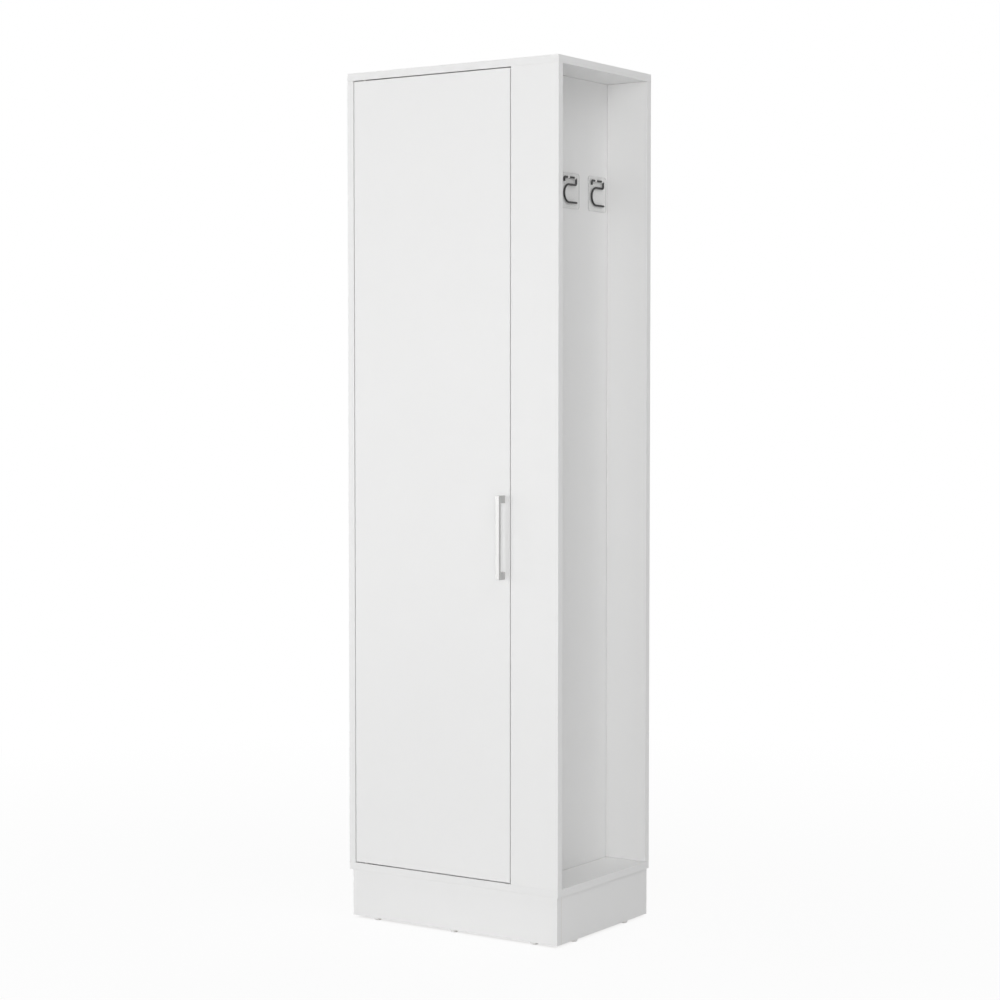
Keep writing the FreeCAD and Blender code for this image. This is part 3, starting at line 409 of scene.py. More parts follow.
def apply_modifier(piece, kind, **settings):
    only(piece)
    modifier = piece.modifiers.new(kind.lower(), kind)
    for name, value in settings.items():
        setattr(modifier, name, value)
    bpy.ops.object.modifier_apply(modifier=modifier.name)


def combine(piece, other, operation):
    """Joins to a piece, or cuts from it, another one, which is then deleted."""
    apply_modifier(piece, "BOOLEAN", operation=operation, solver="EXACT", object=other)
    bpy.data.objects.remove(other)


def break_edges(piece, width, segments=2):
    """A small rounding along every sharp edge."""
    apply_modifier(
        piece, "BEVEL", width=width, segments=segments, limit_method="ANGLE",
        angle_limit=SHARP_EDGE, use_clamp_overlap=True, harden_normals=False)


def smooth(piece, below=SMOOTH_BELOW):
    """Smooth shading over edges below the angle, with the broad faces kept flat."""
    only(piece)
    bpy.ops.object.shade_smooth_by_angle(angle=below)
    apply_modifier(piece, "WEIGHTED_NORMAL", weight=90, keep_sharp=True)


def close_up(piece):
    """Merges doubled points and points every face outwards."""
    with editing(piece):
        choose_all()
        bpy.ops.mesh.remove_doubles(threshold=MERGE_DISTANCE)
        bpy.ops.mesh.normals_make_consistent(inside=False)


def node_copy(node, name):
    """A merged copy of a CAD node, free of the node's own names."""
    only(frame["nodes"][node])
    bpy.ops.object.duplicate()
    piece = bpy.context.object
    piece.name = name
    for key in [key for key in piece.keys() if key.startswith("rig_")]:
        del piece[key]
    bpy.ops.object.parent_clear(type="CLEAR_KEEP_TRANSFORM")
    if piece.data.has_custom_normals:
        bpy.ops.mesh.customdata_custom_splitnormals_clear()
    with editing(piece):
        choose_all()
        bpy.ops.mesh.remove_doubles(threshold=MERGE_DISTANCE)
    piece.data.materials.clear()
    return piece


def corners(piece):
    """Lowest and highest corner of a piece."""
    points = [vertex.co for vertex in piece.data.vertices]
    return Vector(map(min, zip(*points))), Vector(map(max, zip(*points)))


def solids_of(node):
    """A CAD node's solids: each one's lowest and highest corner and the mean of its points."""
    piece = node_copy(node, node + "_parts")
    with editing(piece):
        choose_all()
        bpy.ops.mesh.separate(type="LOOSE")
    found = []
    for part in list(bpy.context.selected_objects):
        points = [vertex.co for vertex in part.data.vertices]
        found.append((*corners(part), sum(points, Vector()) / len(points)))
        bpy.data.objects.remove(part)
    return sorted(found, key=lambda entry: tuple(round(number, 5) for number in entry[0]))


def turned_piece(name, rings, sides):
    """A turned piece along Z: a disc extruded and resized from ring to ring of (radius, height)."""
    radius, height = rings[0]
    piece = add_circle(name, (0, 0, height), radius, sides)
    with editing(piece):
        bpy.ops.mesh.select_mode(type="FACE")
        choose_all()
        for next_radius, next_height in rings[1:]:
            extrude((0, 0, next_height - height))
            ratio = next_radius / radius
            bpy.ops.transform.resize(
                value=(ratio, ratio, 1), center_override=(0, 0, next_height))
            radius, height = next_radius, next_height
    close_up(piece)
    return piece


def join_as(name, pieces):
    """Joins pieces, which keep their own meshes' places, under one name."""
    only(*pieces)
    if len(pieces) > 1:
        bpy.ops.object.join()
    pieces[0].name = name
    return pieces[0]


def set_out(master, name, places):
    """Copies a piece that stands at the origin to each (point, direction), and joins the copies."""
    copies = []
    for point, direction in places:
        only(master)
        bpy.ops.object.duplicate()
        piece = bpy.context.object
        piece.location = point
        piece.rotation_euler = turn_to(direction)
        settle(piece)
        copies.append(piece)
    bpy.data.objects.remove(master)
    return join_as(name, copies)


def finish_piece(piece, body, slot, *materials, replaces=()):
    """Gives a piece its finish and its body, and hides the CAD nodes that it stands for."""
    piece.data.name = piece.name
    if materials:
        piece.data.materials.clear()
        for material in materials:
            piece.data.materials.append(material)
    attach(piece, body)
    if replaces:
        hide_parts(*replaces)
    return piece


def body_of_node(node):
    bodies = frame["record"]["behaviour"]["bodies"]
    return next(body for body, members in bodies.items() if node in members)


def slot_of_node(node):
    rows = frame["record"]["subparts"]
    return next(row["material_slot"] for row in rows if row["node"] == node)


def stand_in(piece, node, *materials):
    """Puts a finished piece in the place of one CAD node."""
    return finish_piece(
        piece, body_of_node(node), slot_of_node(node), *materials, replaces=[node])


# ---------------------------------------------------------------- finishes

# Nearly all of a noise lies between these.
NOISE_SPAN = (0.3, 0.7)


class Nodes:
    """The nodes of a material or of the surround."""

    def __init__(self, tree):
        self.tree = tree

    def fill(self, node, inputs):
        """Links each input to an output, or gives it its value."""
        for key, value in inputs.items():
            if isinstance(value, bpy.types.NodeSocket):
                self.tree.links.new(value, node.inputs[key])
            else:
                node.inputs[key].default_value = value
        return node

    def add(self, kind, inputs, **settings):
        node = self.tree.nodes.new(kind)
        for name, value in settings.items():
            setattr(node, name, value)
        return self.fill(node, inputs)

    def maths(self, operation, first, second):
        node = self.add("ShaderNodeMath", {0: first, 1: second}, operation=operation)
        return node.outputs["Value"]


class Finish(Nodes):
    """A node material on Object coordinates, built from its shader outwards."""

    def __init__(self, name, values):
        self.material = bpy.data.materials.new(name)
        self.material.use_nodes = True
        super().__init__(self.material.node_tree)
        self.tree.nodes.clear()
        self.shader = self.add("ShaderNodeBsdfPrincipled", values)
        self.output = self.add(
            "ShaderNodeOutputMaterial", {"Surface": self.shader.outputs["BSDF"]})
        self.place = self.add("ShaderNodeTexCoord", {}).outputs["Object"]
        self.noises = {}

    def noise(self, scale, detail=2.0, stretch=(1.0, 1.0, 1.0)):
        """Noise from 0 to 1, with cells of about 1 / scale metres."""
        mapping = self.add("ShaderNodeMapping", {"Vector": self.place, "Scale": stretch})
        texture = self.add("ShaderNodeTexNoise", {
            "Vector": mapping.outputs["Vector"], "Scale": scale, "Detail": detail})
        return texture.outputs["Fac"]

    def pattern(self, *words):
        """A pattern's output: made by its own function, or the noise that the words say."""
        if words not in self.noises:
            self.noises[words] = words[0](self) if callable(words[0]) else self.noise(*words)
        return self.noises[words]

    def between(self, amount, low, high, span=NOISE_SPAN):
        """A number from low to high as the amount goes through the span."""
        return self.add("ShaderNodeMapRange", {
            "Value": amount, "From Min": span[0], "From Max": span[1],
            "To Min": low, "To Max": high}).outputs["Result"]

    def tint(self, amount, colours, span):
        """A colour from the first to the second as the amount goes through the span."""
        ramp = self.add("ShaderNodeValToRGB", {"Fac": amount})
        for element, place, shown in zip(ramp.color_ramp.elements, span, colours):
            element.position, element.color = place, (*shown, 1.0)
        return ramp.outputs["Color"]


def shade(base, factor):
    return tuple(min(1.0, channel * factor) for channel in base)


def make_finish(name, colours, base, values, tint, rough=None, relief=None, span=NOISE_SPAN):
    """A finish in the terms of the table below."""
    finish = Finish(name, values)
    low, high, *words = tint
    shades = [shade(getattr(colours, base), share) for share in (low, high)]
    links = {"Base Color": finish.tint(finish.pattern(*words), shades, span)}
    if rough:
        low, high, *words = rough
        links["Roughness"] = finish.between(finish.pattern(*words), low, high)
    if relief:
        depth, share, *words = relief
        bump = finish.add("ShaderNodeBump", {
            "Strength": share, "Distance": depth, "Height": finish.pattern(*words)})
        links["Normal"] = bump.outputs["Normal"]
    finish.fill(finish.shader, links)
    return finish


def press_screen(finish):
    """The print of a press screen: fine bands across each other."""
    bands = [
        finish.add("ShaderNodeTexWave", {
            "Vector": finish.place, "Scale": 110.0, "Distortion": 0.4,
        }, wave_type="BANDS", bands_direction=direction).outputs["Fac"]
        for direction in ("X", "Z")
    ]
    return finish.maths("MULTIPLY", *bands)


def moulded(base, rough):
    """Moulded plastic with a fine spark-eroded skin."""
    return {
        "base": base, "values": {"Roughness": rough}, "tint": (0.97, 1.02, 150.0, 3.0),
        "rough": (rough - 0.04, rough + 0.05, 700.0), "relief": (0.00003, 0.7, 1600.0, 3.0),
    }


BRUSHING = (2600.0, 2.0, (1.0, 1.0, 0.02))
FLAKES = (420.0, 6.0)
GRAIN = (260.0, 4.0, (1.0, 1.0, 0.12))
CLEAR = {"IOR": 1.49}

# Each finish: the colour that it starts from and the values of its shader. A tint is two shares
# of the colour, rough is two roughnesses and a relief is a depth in metres with its strength,
# each with its pattern: the scale, detail and stretch of a noise. The span is the tint's own.
FINISHES = {
    # An even satin sheet with a fine pearl in its surface.
    "white_melamine": {
        "base": "board", "values": {"Roughness": 0.42}, "tint": (0.994, 1.004, 3.0, 3.0),
        "rough": (0.40, 0.46, 60.0, 3.0), "relief": (0.000015, 1.0, 1400.0)},
    # Smoother than the boards, with faint lines along it from its making.
    "white_edging": {
        "base": "edging", "values": {"Roughness": 0.36}, "tint": (0.992, 1.003, 25.0),
        "rough": (0.33, 0.40, 300.0), "relief": (0.000006, 1.0, 2200.0, 1.0)},
    # The core of the boards: pressed flakes and fine dust.
    "raw_chipboard": {
        "base": "chipboard", "values": {"Roughness": 0.86}, "tint": (0.62, 1.28, *FLAKES),
        "span": (0.32, 0.66), "relief": (0.0004, 0.6, *FLAKES)},
    # The dark hairline of a joint: painted shade in the joint, with its dust.
    "joint_dust": {
        "base": "joint", "values": {"Roughness": 0.95}, "tint": (0.7, 1.4, 350.0, 4.0),
        "relief": (0.00005, 0.7, 900.0, 3.0)},
    # The unfaced back of the hardboard.
    "raw_hardboard": {
        "base": "hardboard", "values": {"Roughness": 0.8}, "tint": (0.75, 1.25, 260.0, 5.0),
        "relief": (0.0003, 0.7, press_screen)},
    # Fine brushing along the bar breaks up its shine.
    "satin_nickel": {
        "base": "handle", "values": {"Metallic": 0.8, "Roughness": 0.46},
        "tint": (0.96, 1.03, *BRUSHING), "rough": (0.42, 0.5, *BRUSHING),
        "relief": (0.000004, 0.5, *BRUSHING)},
    # Black dipped wire, a little glossy.
    "black_wire_coat": {
        "base": "wire", "values": {"Roughness": 0.32}, "tint": (0.8, 1.5, 200.0),
        "rough": (0.26, 0.38, 350.0), "relief": (0.00003, 0.6, 1100.0)},
    # Clear sheet of a hook plate, slightly greyed where it is seen through.
    "clear_plastic": {
        "base": "plate", "values": {"Roughness": 0.22, "Alpha": 0.045, **CLEAR},
        "tint": (0.97, 1.02, 120.0), "rough": (0.18, 0.28, 80.0),
        "relief": (0.00002, 0.5, 700.0)},
    # The cut edge of a clear plate, painted darker and less clear as shade, where its plastic looks
    # deeper.
    "clear_plastic_rim": {
        "base": "plate_rim", "values": {"Roughness": 0.3, "Alpha": 0.75, **CLEAR},
        "tint": (0.92, 1.06, 300.0)},
    # The whitish adhesive behind a plate, with its faint mottling.
    "adhesive_pad": {
        "base": "pad", "values": {"Roughness": 0.6}, "tint": (0.98, 1.01, 400.0, 4.0),
        "relief": (0.00004, 1.0, 900.0, 3.0)},
    "milky_plastic": moulded("clip", 0.38),
    "moulded_white": moulded("plastic", 0.45),
    "natural_nylon": moulded("nylon", 0.5),
    "glide_nylon": moulded("glide", 0.55),
    # Bright zinc on steel, with fine drawing marks and dull spots.
    "zinc_plate": {
        "base": "zinc", "values": {"Metallic": 1.0, "Roughness": 0.34},
        "tint": (0.86, 1.12, 180.0, 4.0), "rough": (0.26, 0.46, 500.0, 3.0),
        "relief": (0.00002, 0.6, 900.0, 2.0, (1.0, 1.0, 6.0))},
    # Turned beech with its short grain and flecks.
    "turned_beech": {
        "base": "beech", "values": {"Roughness": 0.62}, "tint": (0.72, 1.18, *GRAIN),
        "relief": (0.0001, 0.6, *GRAIN)},
    # Sintered ferrite, dark and dry.
    "ferrite": {
        "base": "ferrite", "values": {"Roughness": 0.7}, "tint": (0.7, 1.6, 600.0, 4.0),
        "relief": (0.00005, 0.7, 1200.0, 3.0)},
}


def finishes(context):
    """Every finish of the cupboard, made once and found again by its name."""
    colours = context.scene.cupboard_finish
    return {
        name: bpy.data.materials.get(name) or make_finish(name, colours, **recipe).material
        for name, recipe in FINISHES.items()
    }


def bench(context):
    """The sizes and the finishes to work with."""
    return context.scene.cupboard_sizes, finishes(context)


# ---------------------------------------------------------------- boards and their edging

def side_plane(side, low, high):
    """The axis, the sign and the place of one side of a box."""
    axis = AXES[side[1]]
    sign = 1 if side[0] == "+" else -1
    return axis, sign, (high if sign > 0 else low)[axis]


def shorten(piece, side, low, high, amount):
    """Moves the points on one side of a piece inwards."""
    axis, sign, plane = side_plane(side, low, high)
    with editing(piece):
        choose("VERT", lambda vertex: abs(vertex.co[axis] - plane) < TOLERANCE)
        move = Vector()
        move[axis] = -sign * amount
        bpy.ops.transform.translate(value=move)


def round_box_edges(piece, low, high, width, segments, sides=SIDES):
    """Rounds the edges where two sides of the box meet, all of them or those round some sides."""
    planes = {side: side_plane(side, low, high) for side in SIDES}

    def is_corner(edge):
        touched = [
            side for side, (axis, _, plane) in planes.items() if on_plane(edge, axis, plane)]
        return len(touched) >= 2 and any(side in sides for side in touched)

    with editing(piece):
        if choose("EDGE", is_corner):
            bevel(width, segments, clamp_overlap=True)


def paint_board(piece, low, high, arris, jointed=()):
    """Melamine on the broad faces, raw core on cut edges and in bores, painted shade and dust on
    jointed arrises.
    """
    size = high - low
    thin = min(range(3), key=lambda axis: size[axis])
    ends = [side_plane(side, low, high) for side in jointed]
    for face in piece.data.polygons:
        on_face = any(abs(face.center[thin] - corner[thin]) < arris for corner in (low, high))
        is_arris = abs(face.normal[thin]) < FACING
        in_joint = any(
            TOLERANCE < abs(face.center[axis] - plane) < arris for axis, _, plane in ends)
        # The dark arrises at jointed ends are painted shade, with the joint's dust.
        dusty_and_shaded = on_face and is_arris and in_joint
        face.material_index = DUST_AND_SHADE if dusty_and_shaded else MELAMINE if on_face else CORE


def edge_strips(node, sides, low, high, sizes):
    """The plastic edging on a board's sides. A later strip covers the ends of the earlier ones."""
    strips = []
    for side in sides:
        axis, sign, plane = side_plane(side, low, high)
        for strip in strips:
            if abs(corners(strip)[sign > 0][axis] - plane) < TOLERANCE:
                shorten(strip, side, low, high, sizes.edging_thickness)
        strip_low, strip_high = low.copy(), high.copy()
        inner = strip_low if sign > 0 else strip_high
        inner[axis] = plane - sign * sizes.edging_thickness
        strips.append(add_box(f"{node}_strip{len(strips)}", strip_low, strip_high))
    for strip, side in zip(strips, sides):
        round_box_edges(
            strip, *corners(strip), sizes.edging_rounding, segments=4, sides=[side])
    return strips


def make_board(context, node, sides, cut_outs=()):
    """A faced board with its bores, and its edging as a piece of its own."""
    sizes, looks = bench(context)
    low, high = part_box(node)
    board = node_copy(node, node + "_board")
    jointed = JOINTED_ENDS.get(node, ())
    for side in jointed:
        shorten(board, side, low, high, sizes.fine_joint)
    low, high = corners(board)
    for side in sides:
        shorten(board, side, low, high, sizes.edging_thickness)
    board_low, board_high = corners(board)
    round_box_edges(board, board_low, board_high, sizes.board_arris, segments=1)
    paint_board(board, board_low, board_high, sizes.board_arris, jointed)
    smooth(board)
    for finish in BOARD_FINISHES:
        board.data.materials.append(looks[finish])
    stand_in(board, node)
    if not sides:
        return
    strips = edge_strips(node, sides, low, high, sizes)
    for strip in strips:
        for cut_out in cut_outs:
            combine(strip, cut_out(), "DIFFERENCE")
    edge = join_as(node + "_edging", strips)
    smooth(edge)
    finish_piece(edge, body_of_node(node), slot_of_node(node), looks["white_edging"])


class CUPBOARD_OT_carcass(bpy.types.Operator):
    """Faces and edges the boards of the carcass and of the plinth"""

    bl_idname = "cupboard.carcass"
    bl_label = "Carcass and plinth boards"

    def execute(self, context):
        for node, sides in BOARDS.items():
            make_board(context, node, sides)
        return {"FINISHED"}


class CUPBOARD_OT_shelves(bpy.types.Operator):
    """Faces and edges the fixed and the loose shelves"""

    bl_idname = "cupboard.shelves"
    bl_label = "Shelves"

    def execute(self, context):
        for node in SHELVES:
            make_board(context, node, SHELF_EDGING)
        return {"FINISHED"}


class CUPBOARD_OT_back_sheet(bpy.types.Operator):
    """Hardboard back: white in front, brown and screen-printed behind"""

    bl_idname = "cupboard.back_sheet"
    bl_label = "Back sheet"

    def execute(self, context):
        sizes, looks = bench(context)
        node = "compartment_back_sheet"
        sheet = node_copy(node, "back_sheet_faced")
        low, high = corners(sheet)
        round_box_edges(sheet, low, high, sizes.board_arris, segments=1)
        for face in sheet.data.polygons:
            face.material_index = 0 if abs(face.center.y - low.y) < TOLERANCE else 1
        for finish in ("white_melamine", "raw_hardboard"):
            sheet.data.materials.append(looks[finish])
        stand_in(sheet, node)
        return {"FINISHED"}


# ---------------------------------------------------------------- door and handle

def leaf_slot(node):
    """Makes a tool for a slot through an end of the door, as wide and long as the leaf there."""
    low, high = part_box(node)
    radius, middle = (high.y - low.y) / 2, (low + high) / 2

    def make():
        bpy.ops.mesh.primitive_cylinder_add(
            vertices=64, radius=radius, depth=high.z - low.z + 2 * SLOT_OVERRUN,
            location=(low.x + radius, middle.y, middle.z))
        slot = added(node + "_slot")
        with editing(slot):
            choose("VERT", lambda vertex: vertex.co.x > low.x + radius + TOLERANCE)
            bpy.ops.transform.translate(value=(high.x - low.x - 2 * radius, 0, 0))
        return slot

    return make


class CUPBOARD_OT_door(bpy.types.Operator):
    """The inset door, edged all round, with its ends open where the pivot leaves are let in"""

    bl_idname = "cupboard.door"
    bl_label = "Door"

    def execute(self, context):
        slots = [leaf_slot("lower_door_leaf"), leaf_slot("upper_door_leaf")]
        make_board(context, "door_panel", DOOR_EDGING, slots)
        return {"FINISHED"}


class CUPBOARD_OT_handle(bpy.types.Operator):
    """The square bar handle: a bar whose two ends are drawn back to the door"""

    bl_idname = "cupboard.handle"
    bl_label = "Handle"

    def execute(self, context):
        sizes, looks = bench(context)
        low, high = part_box("door_handle")
        bar_back = low.y + sizes.handle_bar
        handle = add_box("bar_handle", low, (high.x, bar_back, high.z))
        inner_low, inner_high = low.z + sizes.handle_post, high.z - sizes.handle_post

        def is_post_end(face):
            on_bar = inner_low < face.calc_center_median().z < inner_high
            return face.normal.y > FACING and not on_bar

        with editing(handle):
            for level in (inner_low, inner_high):
                choose_all()
                bpy.ops.mesh.bisect(plane_co=(0, 0, level), plane_no=UP)
            choose("FACE", is_post_end)
            extrude((0, high.y - bar_back, 0))
            choose("EDGE", lambda edge: is_square(edge) and not on_plane(edge, Y, high.y))
            bevel(sizes.handle_rounding, segments=4)
        smooth(handle, ROUND_BELOW)
        finish_piece(
            handle, "door", "satin_metal", looks["satin_nickel"], replaces=["door_handle"])
        return {"FINISHED"}


# ---------------------------------------------------------------- hooks in the niche

def joint_place(name):
    return Vector(next(joint["pos_m"] for joint in frame["joints"] if joint["name"] == name))


def bent_wire(name, points, radii, wire_radius):
    """A round wire across X: it is extruded along straight runs and spun round the bends."""
    heading = (points[1] - points[0]).normalized()
    wire = add_circle(name, points[0], wire_radius, sides=32, turn=turn_to(heading))
    place, ends = points[0], (points[0], points[-1])

    def is_end(face):
        """The wire's two round ends, not the quads along it."""
        middle = face.calc_center_median()
        return len(face.verts) > 4 and any((middle - end).length < TOLERANCE for end in ends)

    with editing(wire):
        bpy.ops.mesh.select_mode(type="FACE")
        choose_all()
        for corner, after, radius in zip(points[1:], points[2:], radii[1:]):
            leaving = (after - corner).normalized()
            run = (corner - place).dot(heading) - radius
            if run > TOLERANCE:
                extrude(heading * run)
                place = place + heading * run
            bpy.ops.mesh.spin(
                steps=max(FEWEST_BEND_STEPS, round(radius / BEND_STEP)), angle=math.pi / 2,
                center=place + leaving * radius, axis=leaving.cross(heading))
            place = place + (heading + leaving) * radius
            heading = leaving
        extrude(points[-1] - place)
        choose("FACE", is_end)
        bpy.ops.mesh.region_to_loop()
        bevel(wire_radius * WIRE_END, segments=4)
    close_up(wire)
    smooth(wire, ROUND_BELOW)
    return wire


class CUPBOARD_OT_wire_hooks(bpy.types.Operator):
    """Each hook: one wire drawn along its runs and spun round its bends, under its crossbar"""

    bl_idname = "cupboard.wire_hooks"
    bl_label = "Wire hooks"

    def execute(self, context):
        sizes, looks = bench(context)
        foot = -sizes.rear_leg_drop
        lower_run = foot - 2 * sizes.bowl_radius
        bowl_front = -sizes.bowl_offset - sizes.bowl_radius
        small, large = sizes.wire_bend, sizes.bowl_radius
        # The corners of the wire before it is bent, from the crossbar's axis, with their radii.
        turns = [
            ((-sizes.front_leg_offset, -sizes.front_leg_drop), 0),
            ((-sizes.front_leg_offset, 0), small),
            ((sizes.rear_leg_offset, 0), small),
            ((sizes.rear_leg_offset, foot), small),
            ((bowl_front, foot), large),
            ((bowl_front, lower_run), large),
            ((sizes.tip_offset, lower_run), 0),
        ]
        radii = [radius for _, radius in turns]
        for place in ("front", "rear"):
            axis = joint_place(f"hook_{place}_swing")
            points = [axis + Vector((0, y, z)) for (y, z), _ in turns]
            hook = bent_wire(f"bent_hook_{place}", points, radii, sizes.wire_radius)
            finish_piece(
                hook, f"hook_{place}", "black_wire", looks["black_wire_coat"],
                replaces=[f"wire_hook_{place}"])
        return {"FINISHED"}


def wire_clip(name, middle, radius, plate_front, sizes):
    """A clip round the wire: a ring that is drawn out to the plate on one side, then along it."""
    bore = sizes.wire_radius + sizes.clip_play
    start = middle - Vector((0, sizes.clip_width / 2, 0))
    clip = add_circle(name, start, bore, sides=64, turn=(math.pi / 2, 0, 0), fill="NOTHING")
    with editing(clip):
        choose_all()
        bpy.ops.mesh.extrude_edges_move()
        bpy.ops.transform.resize(value=(radius / bore, 1, radius / bore), center_override=start)
        for vertex in bmesh.from_edit_mesh(clip.data).verts:
            if vertex.select and vertex.co.x < middle.x - TOLERANCE:
                vertex.co.x = plate_front - sizes.pad_thickness * CLIP_IN_PLATE
        choose_all()
        extrude((0, sizes.clip_width, 0))
        choose("EDGE", lambda edge: is_square(edge) and on_plane(edge, Y, edge.verts[0].co.y))
        bevel(sizes.small_arris)
    close_up(clip)
    return clip


class CUPBOARD_OT_hook_plates(bpy.types.Operator):
    """The clear plates with their adhesive pads, and the clips that hold the crossbars"""

    bl_idname = "cupboard.hook_plates"
    bl_label = "Hook plates"

    def execute(self, context):
        sizes, looks = bench(context)
        clip_radius = sizes.wire_radius + sizes.clip_play + sizes.clip_wall
        for place in ("front", "rear"):
            node = f"hook_plate_{place}"
            low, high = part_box(node)
            wall, wire = low.x, joint_place(f"hook_{place}_swing")
            plate_front, pad_front = wall + sizes.plate_thickness, wall + sizes.pad_thickness
            plate_back = wall + sizes.pad_thickness * PLATE_BACK
            plate = add_slab(f"clear_plate_{place}", low, high, plate_back, plate_front)
            pad = add_slab(f"adhesive_pad_{place}", low, high, wall, pad_front)
            for sheet in (plate, pad):
                with editing(sheet):
                    choose("EDGE", lambda edge: not on_plane(edge, X, edge.verts[0].co.x))
                    bevel(sizes.plate_corner, segments=8)
            with editing(plate):
                choose("EDGE", lambda edge: on_plane(edge, X, plate_front))
                bevel(sizes.small_arris)
            with editing(pad):
                choose_all()
                middle = Vector((wall, (low.y + high.y) / 2, (low.z + high.z) / 2))
                shrink = 1 - 2 * sizes.pad_margin / (high.y - low.y)
                bpy.ops.transform.resize(value=(1, shrink, shrink), center_override=middle)
            holder = join_as(f"hook_clips_{place}", [
                wire_clip(
                    f"{node}_clip", wire + Vector((0, offset, 0)), clip_radius, plate_front, sizes)
                for offset in (-sizes.clip_offset, sizes.clip_offset)])
            smooth(holder)
            smooth(plate)
            finish_piece(
                plate, "carcass", "clear_plate", looks["clear_plastic"],
                looks["clear_plastic_rim"], replaces=[node])
            # The plate's edge faces take the rim finish, which is painted shade.
            for face in plate.data.polygons:
                face.material_index = 0 if abs(face.normal.x) > FACING else 1
            finish_piece(pad, "carcass", "clear_plate", looks["adhesive_pad"])
            finish_piece(holder, "carcass", "clear_plate", looks["milky_plastic"])
        return {"FINISHED"}


# ---------------------------------------------------------------- small fittings

def soften(context, fittings):
    """Copies of CAD nodes with their sharp edges broken."""
    sizes, looks = bench(context)
    for node, (name, finish, size, segments) in fittings.items():
        piece = node_copy(node, name)
        break_edges(piece, getattr(sizes, size), segments)
        smooth(piece)
        stand_in(piece, node, looks[finish])


class CUPBOARD_OT_glides(bpy.types.Operator):
    """The nail-on glides under the plinth: rounded discs, hollow round their nails' heads"""

    bl_idname = "cupboard.glides"
    bl_label = "Glides"

    def execute(self, context):
        sizes, looks = bench(context)
        solids = solids_of("floor_glides")
        places = [
            (Vector(((low.x + high.x) / 2, (low.y + high.y) / 2, low.z)), UP)
            for low, high, _ in solids]
        size = solids[0][1] - solids[0][0]
        radius, rounding, arris = size.x / 2, sizes.glide_rounding, sizes.glide_arris
        dish, hollow, shank = sizes.glide_dish, sizes.glide_hollow, sizes.nail_radius
        foot = [
            (radius - rounding * (1 - math.sin(turn)), rounding * (1 - math.cos(turn)))
            for turn in map(math.radians, FOOT_TURNS)]
        disc = turned_piece("glide_disc", [
            (dish, hollow),
            (dish, arris),
            (dish + arris, 0.0),
            *foot,
            (radius, sizes.glide_height - arris),
            (radius - arris, sizes.glide_height),
        ], sides=40)
        smooth(disc)
        nail = turned_piece("glide_nail", [
            *((dish * share, level) for share, level in NAIL_HEAD),
            (dish * NAIL_HEAD[-1][0], hollow),
            (shank, hollow),
            (shank, size.z - NAIL_TAPER * shank),
            (shank * TIP, size.z),
        ], sides=20)
        smooth(nail)
        finish_piece(
            set_out(disc, "nail_glides", places), "carcass", "glide_plastic",
            looks["glide_nylon"], replaces=["floor_glides"])
        finish_piece(set_out(nail, "glide_nails", places), "carcass", "zinc", looks["zinc_plate"])
        return {"FINISHED"}


def cross_recess(reach, width, depth):
    """The tapered cross in a screw head that is level with Z 0."""
    arms = []
    for half_x, half_y in ((reach, width / 2), (width / 2, reach)):
        arm = add_box("recess_arm", (-half_x, -half_y, -depth), (half_x, half_y, depth))
        with editing(arm):
            choose("VERT", lambda vertex: vertex.co.z < 0)
            bpy.ops.transform.resize(
                value=(RECESS_TAPER, RECESS_TAPER, 1), center_override=(0, 0, -depth))
        arms.append(arm)
    combine(*arms, "UNION")
    return arms[0]


def screw_places(solids):
    """The top of each screw's head, and the direction from its tip to its head."""
    places = []
    for low, high, mean in solids:
        size = high - low
        axis = max(range(3), key=lambda number: size[number])
        sign = 1 if mean[axis] > (low[axis] + high[axis]) / 2 else -1
        point, direction = (low + high) / 2, Vector()
        point[axis] = (high if sign > 0 else low)[axis]
        direction[axis] = sign
        places.append((point, direction))
    return places


def screws(context, node, name, head, shank, countersunk=False):
    """Screws with a cross recess in the place of a CAD node's plain ones."""
    solids = solids_of(node)
    size = sorted(solids[0][1] - solids[0][0])
    radius, reach = size[0] / 2, size[2]
    if countersunk:
        crown = [(radius * share, -depth) for share, depth in COUNTERSUNK_RIM]
        crown.append((shank, -head))
    else:
        crown = [(radius * share, -head * depth) for share, depth in PAN_HEAD]
        crown.append((shank, -head - PAN_STEP))
    tail = [(shank, shank * SCREW_TAPER - reach), (shank * TIP, -reach)]
    screw = turned_piece(name + "_master", crown + tail, sides=24)
    depth = min(head * RECESS_IN_HEAD, radius * RECESS_DEPTH)
    recess = cross_recess(radius * RECESS_REACH, radius * RECESS_WIDTH, depth)
    combine(screw, recess, "DIFFERENCE")
    smooth(screw)
    stand_in(set_out(screw, name, screw_places(solids)), node, finishes(context)["zinc_plate"])


class CUPBOARD_OT_joint_fittings(bpy.types.Operator):
    """Cams, cam bolts, dowels, plinth brackets and shelf pins"""

    bl_idname = "cupboard.joint_fittings"
    bl_label = "Joint fittings and shelf pins"

    def execute(self, context):
        soften(context, JOINT_FITTINGS)
        return {"FINISHED"}


class CUPBOARD_OT_pivots(bpy.types.Operator):
    """The pivot leaves, their washers and screws"""

    bl_idname = "cupboard.pivots"
    bl_label = "Pivot hinges"

    def execute(self, context):
        soften(context, PIVOT_FITTINGS)
        sizes = context.scene.cupboard_sizes
        for leaf in ("frame", "door"):
            screws(
                context, f"{leaf}_leaf_screws", f"{leaf}_pivot_screws", sizes.countersink,
                sizes.leaf_shank, countersunk=True)
        return {"FINISHED"}


